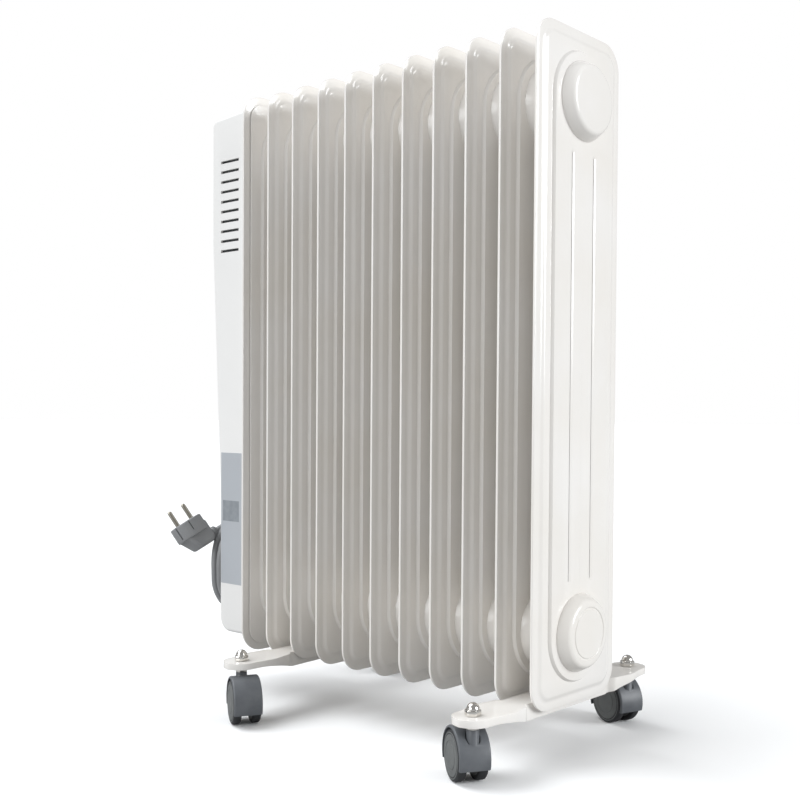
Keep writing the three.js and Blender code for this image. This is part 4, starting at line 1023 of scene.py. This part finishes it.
STICKER_SPAN = ((-43, 115), (-9, 255))
STICKER_FIELD = ((-40, 182), (-13, 204))
STICKER_THICK = 0.12
FIELD_THICK = 0.16


def add_sticker():
    """A bare silver rating sticker, low on the box's side."""
    face = -BOX_HALF_WIDTH
    layers = (
        ("bare_silver_sticker", STICKER_SPAN, STICKER_THICK, STICKER),
        ("sticker_field", STICKER_FIELD, FIELD_THICK, STICKER_INK),
    )
    for name, ((x1, z1), (x2, z2)), depth, material in layers:
        layer = cube("sticker", (x1, face - depth, z1), (x2, face, z2))
        soften(layer, 0.03, 1)
        hand_over(layer, name, material, "heater")


def add_vent_shade_sheets():
    """Dark sheets behind the vent slots: painted shade that keeps the box's inside out of sight.
    """
    low = VENT_TOP - (VENT_COUNT - 1) * VENT_PITCH - VENT_HEIGHT - SHADE_SHEET_PAST
    for side, name in ((-1, "left"), (1, "right")):
        near_face = side * (BOX_HALF_WIDTH - BOX_WALL - SHADE_SHEET_GAP)
        far_face = near_face - side * SHADE_SHEET_THICK
        y1, y2 = sorted((near_face, far_face))
        high = (VENT_SPAN[1] + 2, y2, VENT_TOP + SHADE_SHEET_PAST)
        # A dark sheet as painted shade behind one side's vent slots.
        shade_sheet = cube("shade_sheet", (VENT_SPAN[0] - 2, y1, low), high)
        soften(shade_sheet, 0.2, 1)
        hand_over(shade_sheet, f"vent_painted_shade_{name}", DARK_ABS, "heater")


add_control_box()
add_vent_shade_sheets()
add_sticker()


# ---------------- casters
CASTERS = {"near_left": 148, "near_right": 161, "far_left": -29, "far_right": 168}
WHEEL_R = 21
WHEEL_INNER = 5.6
WHEEL_OUTER = 14.2
TRAIL = 15.8
STEM_Y = 117.7
TREAD_REACH = 4              # how far in from its rim a tyre covers the wheel
AXLE_R = 3
AXLE_HALF = 9.6
AXLE_BORE_R = 3.25
HOOD_R = 24.4
HOOD_INNER_R = 22.4
HOOD_HALF = 13.5
HOOD_WEB = 5
HOOD_ROUND = 1.6
CUT_PAST = 3
HOOD_REAR = -20
HOOD_FRONT = 197
HUB_R = 7
SOCKET_R = 5.3
SOCKET_TOP = 46
RECESS_R = 6.3
RECESS_FLOOR = 35
STEM_BORE_R = 3.65
STEM_BORE_FLOOR = 23.7
PLATE_TOP = 56.9
NUT_FLATS = 12
NUT_HEIGHT = 10.4
NUT_SEAT = PLATE_TOP + 0.3
NUT_SHARE = 0.46             # of its height for the hexagon, of its flats for the dome
DOME_STEPS = 10
DOME_STEP = 8.8


def across(name, centre, radius, low, high, sides=72):
    """A drum across the caster, between two places along Y."""
    x, z = centre
    piece = lathe(name, [(radius, low), (radius, high)], sides)
    piece.data.transform(Matrix.Rotation(-math.pi / 2, 4, "X"))
    piece.data.transform(Matrix.Translation((x * MM, 0, z * MM)))
    return piece


def wedge(centre, half):
    """What is open below a hood: everything under its two lower ends."""
    x, z = centre
    piece = block("wedge", (x - 40, -half, z - 60), (x + 40, half, z))
    for angle, side in ((HOOD_REAR, 1), (HOOD_FRONT, -1)):
        turn = math.radians(angle)
        direction = (-math.sin(turn) * side, 0, math.cos(turn) * side)
        shave(piece, (x, 0, z), direction)
    return piece


def caster_hood():
    """The hood about its own stem: shell, web, hub, axle and stem socket."""
    axle_at = (TRAIL, WHEEL_R)
    hood = across("hood", axle_at, HOOD_R, -HOOD_HALF, HOOD_HALF, 96)
    soften(hood, HOOD_ROUND, 4, 40)
    pockets = [
        across("pocket", axle_at, HOOD_INNER_R, HOOD_WEB, HOOD_HALF + CUT_PAST),
        across("pocket", axle_at, HOOD_INNER_R, -HOOD_HALF - CUT_PAST, -HOOD_WEB),
    ]
    recess = lathe("recess", [(RECESS_R, RECESS_FLOOR), (RECESS_R, 80)], 40)
    combine(hood, [*pockets, wedge(axle_at, 20), recess], "DIFFERENCE")
    socket = lathe("socket", [(SOCKET_R, RECESS_FLOOR - 6), (SOCKET_R, SOCKET_TOP)], 40)
    soften(socket, 0.6, 2)
    hub = across("hub", axle_at, HUB_R, -HOOD_WEB, HOOD_WEB, 40)
    axle = across("axle", axle_at, AXLE_R, -AXLE_HALF, AXLE_HALF, 24)
    combine(hood, [socket, hub, axle], "UNION")
    bore = lathe("bore", [(STEM_BORE_R, STEM_BORE_FLOOR), (STEM_BORE_R, 60)], 24)
    combine(hood, [bore], "DIFFERENCE")
    soften(hood, 0.35, 2, 50)
    return hood


def onto_axle(piece, side):
    """Lays a turned piece along the caster's axle, facing out to one side."""
    piece.data.transform(Matrix.Rotation(-side * math.pi / 2, 4, "X"))
    piece.data.transform(Matrix.Translation((TRAIL * MM, 0, WHEEL_R * MM)))
    return piece


def caster_wheel(side):
    """A wheel within its tyre: soft shoulder and a capped face with two thin rings."""
    rim, face = WHEEL_R, WHEEL_OUTER
    profile = [
        (HUB_R, WHEEL_INNER), (rim - 1.6, WHEEL_INNER), (rim - 1, WHEEL_INNER + 1),
        (rim - 1, face - 2.8), (rim - 2.2, face - 0.8), (rim - 3, face - 0.7),
        (rim - 3.3, face - 1.2), (rim - 3.9, face - 1.2), (rim - 4.2, face - 0.6),
        (rim - 9, face - 0.25), (rim - 9.2, face - 0.6), (rim - 9.7, face - 0.6),
        (rim - 9.9, face - 0.2), (3, face), (0.6, face),
    ]
    wheel = lathe("wheel", profile, 80)
    bore = lathe("bore", [(AXLE_BORE_R, WHEEL_INNER - 1), (AXLE_BORE_R, AXLE_HALF + 0.3)], 24)
    combine(wheel, [bore], "DIFFERENCE")
    smooth_over(wheel, 26)
    return onto_axle(wheel, side)


def wheel_tread(side):
    """The dark tyre round a wheel, moulded onto its rim."""
    rim, inner, outer = WHEEL_R, WHEEL_INNER, WHEEL_OUTER
    profile = [
        (rim - 4.2, inner - 0.1), (rim - 1.2, inner - 0.1), (rim - 0.2, inner + 0.5),
        (rim, inner + 1.4), (rim, outer - 2.8), (rim - 0.4, outer - 1.7),
        (rim - 1.5, outer - 0.95), (rim - 2.4, outer - 0.9),
    ]
    tread = lathe("tread", profile, 80)
    core_r = WHEEL_R - TREAD_REACH
    core = lathe("core", [(core_r, WHEEL_INNER - 2), (core_r, WHEEL_OUTER + 2)], 80)
    combine(tread, [core], "DIFFERENCE")
    smooth_over(tread, 40)
    return onto_axle(tread, side)


def cap_nut():
    """A cap nut: a hexagon with softened edges and a round dome."""
    flats = NUT_FLATS / math.sqrt(3)
    hexagon_top = NUT_SEAT + NUT_HEIGHT * NUT_SHARE
    hexagon = lathe("hexagon", [(flats, NUT_SEAT), (flats, hexagon_top)], 6)
    soften(hexagon, 0.4, 2)
    dome_r = NUT_FLATS * NUT_SHARE
    foot = NUT_SEAT + NUT_HEIGHT - dome_r
    profile = [(dome_r, NUT_SEAT + 1), (dome_r, foot)]
    for step in range(1, DOME_STEPS + 1):
        turn = math.radians(step * DOME_STEP)
        profile.append((dome_r * math.cos(turn), foot + dome_r * math.sin(turn)))
    nut = join(hexagon, [lathe("dome", profile, 48)])
    smooth_over(nut, 40)
    return nut


def add_casters():
    """One hood, one pair of wheels and one nut, copied to the four stems."""
    hood = caster_hood()
    wheels = {"a": caster_wheel(1), "b": caster_wheel(-1)}
    treads = {"a": wheel_tread(1), "b": wheel_tread(-1)}
    nut = cap_nut()
    floor = place(0, 0, 0).z
    for corner, trail in CASTERS.items():
        low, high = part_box(f"caster_stem_{corner}")
        stem = Matrix.Translation(((low.x + high.x) / 2, (low.y + high.y) / 2, floor))
        turned = stem @ Matrix.Rotation(math.radians(trail), 4, "Z")
        piece = copy_piece(hood)
        piece.data.transform(turned)
        name = f"caster_hood_{corner}"
        hand_over(piece, f"nylon_{name}", NYLON, f"caster_{corner}", [name])
        for end, model in wheels.items():
            piece = copy_piece(model)
            piece.data.transform(turned)
            name = f"wheel_{corner}_{end}"
            hand_over(piece, f"moulded_{name}", WHEEL_GREY, name, [name])
            tyre = copy_piece(treads[end])
            tyre.data.transform(turned)
            hand_over(tyre, f"tread_{name}", TYRE, name)
        piece = copy_piece(nut)
        piece.data.transform(stem)
        name = f"acorn_nut_{corner}"
        hand_over(piece, f"plated_{name}", ZINC, "heater", [name])
    for model in (hood, *wheels.values(), *treads.values(), nut):
        bpy.data.objects.remove(model, do_unlink=True)


add_casters()


# ---------------- foot plates
PLATE_THICK = 2
PLATE_HALF_WIDTHS = ((62.6, 11.8), (69, 17.2), (92, 20.5), (STEM_Y, 17))
PLATE_TIP_Y = 135
PLATE_TIP_POWERS = (2.1, 0.52)
PLATE_SKIRT_DEEP = 14.4
PLATE_SKIRT_SHALLOW = 6
PLATE_SKIRT_FROM = 60
PLATE_SKIRT_TO = 104
PLATE_SKIRT_POWER = 1.5
PLATE_STATIONS = 108
PLATE_ROUND = 0.8
PLATE_FIRST_DROP = 1
BOLT_Y = 32.5
BOLT_HOLE_R = 3.5
STEM_HOLE_R = 4.5


def pick_points(piece, wanted):
    """Selects, in edit mode, the vertices that a test of their place wants."""
    leave_edit()
    for group in (piece.data.polygons, piece.data.edges):
        for item in group:
            item.select = False
    for vertex in piece.data.vertices:
        vertex.select = wanted(vertex.co)
    bpy.ops.object.mode_set(mode="EDIT")
    bpy.ops.mesh.select_mode(type="VERT")


def blend(y, stations):
    """A size that passes smoothly from one station's value to the next one's."""
    for (y1, v1), (y2, v2) in zip(stations, stations[1:]):
        if y < y2:
            share = min(max((y - y1) / (y2 - y1), 0), 1)
            return v1 + (v2 - v1) * share * share * (3 - 2 * share)
    return stations[-1][1]


def plate_half(y):
    """The plate's half width at a distance from its middle, rounded off at its tip."""
    past = max(y - STEM_Y, 0) / (PLATE_TIP_Y - STEM_Y)
    rounded = max(1 - past ** PLATE_TIP_POWERS[0], 0.003) ** PLATE_TIP_POWERS[1]
    return blend(y, PLATE_HALF_WIDTHS) * rounded


def plate_skirt(y):
    """The turned-down side's depth: deep by the fin, easing off to the shallow tip."""
    share = (y - PLATE_SKIRT_FROM) / (PLATE_SKIRT_TO - PLATE_SKIRT_FROM)
    left = 1 - min(max(share, 0), 1)
    extra = PLATE_SKIRT_DEEP - PLATE_SKIRT_SHALLOW
    return PLATE_SKIRT_SHALLOW + extra * left ** PLATE_SKIRT_POWER


def foot_plate():
    """A pressed plate about its own middle: a flat top and turned-down sides."""
    deselect()
    bpy.ops.mesh.primitive_grid_add(
        x_subdivisions=10,
        y_subdivisions=PLATE_STATIONS,
        size=2 * MM,
        location=(0, 0, PLATE_TOP * MM),
    )
    plate = bpy.context.object
    plate.name = "plate"
    plate.scale = (1, PLATE_TIP_Y, 1)
    settle(plate)
    edit(plate)
    bpy.ops.mesh.select_mode(type="EDGE")
    bpy.ops.mesh.select_non_manifold()
    first_drop = (0, 0, -PLATE_FIRST_DROP * MM)
    bpy.ops.mesh.extrude_region_move(TRANSFORM_OT_translate={"value": first_drop})
    step = 2 * PLATE_TIP_Y / PLATE_STATIONS
    for number in range(PLATE_STATIONS // 2 + 1):
        y = number * step
        pick_points(plate, lambda point: near(abs(point.y), y * MM))
        bpy.ops.transform.resize(value=(plate_half(y), 1, 1), center_override=(0, 0, 0))
        top = PLATE_TOP * MM
        pick_points(plate, lambda point: near(abs(point.y), y * MM) and not near(point.z, top))
        drop = plate_skirt(y) - PLATE_FIRST_DROP
        bpy.ops.transform.translate(value=(0, 0, -drop * MM))
    leave_edit()
    edit(plate)
    bpy.ops.mesh.select_all(action="SELECT")
    bpy.ops.mesh.normals_make_consistent(inside=False)
    leave_edit()
    apply_modifier(plate, "SOLIDIFY", thickness=PLATE_THICK * MM, offset=-1)
    apply_modifier(plate, "BEVEL", width=PLATE_ROUND * MM, segments=3, limit_method="ANGLE",
                   angle_limit=math.radians(40))
    return plate


def plate_hole(radius, x, y):
    """A cutter for a round hole through a plate, at a place in the frame."""
    cutter = lathe("hole", [(radius, PLATE_TOP - 20), (radius, PLATE_TOP + 10)], 24)
    cutter.data.transform(Matrix.Translation((x, y, 0)))
    return cutter


def add_foot_plates():
    """The two plates, turned and holed for their caster stems and their U-bolt."""
    floor = place(0, 0, 0).z
    for end in ("near", "far"):
        corners = [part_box(f"caster_stem_{end}_{side}") for side in ("left", "right")]
        left, right = ((low + high) / 2 for low, high in corners)
        middle = (left + right) / 2
        along = right - left
        turn = math.atan2(-along.x, along.y)
        plate = foot_plate()
        placed = Matrix.Translation((middle.x, middle.y, floor))
        plate.data.transform(placed @ Matrix.Rotation(turn, 4, "Z"))
        low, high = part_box(f"u_bolt_{end}")
        bolt_x = (low.x + high.x) / 2
        holes = [plate_hole(STEM_HOLE_R, stem.x, stem.y) for stem in (left, right)]
        for side in (-1, 1):
            holes.append(plate_hole(BOLT_HOLE_R, bolt_x, place(0, side * BOLT_Y, 0).y))
        combine(plate, holes, "DIFFERENCE")
        smooth_over(plate, 35)
        name = f"foot_plate_{end}"
        hand_over(plate, f"pressed_{name}", ENAMEL, "heater", [name])


add_foot_plates()


# ---------------- floor and lights
AMBIENT = 0.36
SUNS = (
    ("end_panel_light", (1, 0.36, 0.35), 2.5, 32),
    ("side_panel_light", (-0.2, -1, 0.3), 1.5, 40),
    ("top_panel_light", (-0.5, -0.25, 0.83), 2.2, 45),
)
SUN_COLOUR = (0.95, 0.975, 1.0)
FLOOR_BOUNCE = 0.42
FLOOR_SIZE = 60


def add_suns():
    """Broad soft lights: one to the bare end, one to the side and one from above."""
    for name, towards, strength, spread in SUNS:
        data = bpy.data.lights.new(name, "SUN")
        data.energy = strength
        data.color = SUN_COLOUR
        data.angle = math.radians(spread)
        lamp = bpy.data.objects.new(name, data)
        bpy.context.scene.collection.objects.link(lamp)
        lamp.matrix_world = (-Vector(towards)).to_track_quat("-Z", "Y").to_matrix().to_4x4()


def add_floor():
    """A white paper floor that keeps the soft shadow under the heater."""
    material = new_material("white_paper_floor", "#FFFFFF", 0.95, Specular_IOR_Level=0.1)
    tree = material.node_tree
    shader = tree.nodes["Principled BSDF"]
    seen = add_node(tree, "ShaderNodeLightPath")
    shade = add_node(tree, "ShaderNodeMapRange", {
        "Value": seen.outputs["Is Camera Ray"],
        "To Min": FLOOR_BOUNCE,
        "To Max": 1.0,
    })
    tree.links.new(shade.outputs["Result"], shader.inputs["Base Color"])
    deselect()
    bpy.ops.mesh.primitive_plane_add(size=FLOOR_SIZE, location=place(150, 0, 0))
    floor = bpy.context.object
    floor.name = "floor"
    settle(floor)
    coat(floor, material)


def add_world():
    """A white studio: plain white to the camera, a softer white as light."""
    world = bpy.data.worlds.new("studio")
    world.use_nodes = True
    tree = world.node_tree
    background = tree.nodes["Background"]
    seen = add_node(tree, "ShaderNodeLightPath")
    level = add_node(tree, "ShaderNodeMapRange", {
        "Value": seen.outputs["Is Camera Ray"],
        "To Min": AMBIENT,
        "To Max": 1.0,
    })
    background.inputs["Color"].default_value = (1, 1, 1, 1)
    tree.links.new(level.outputs["Result"], background.inputs["Strength"])
    bpy.context.scene.world = world


add_floor()
add_world()
add_suns()
bpy.context.scene.view_settings.view_transform = "Standard"
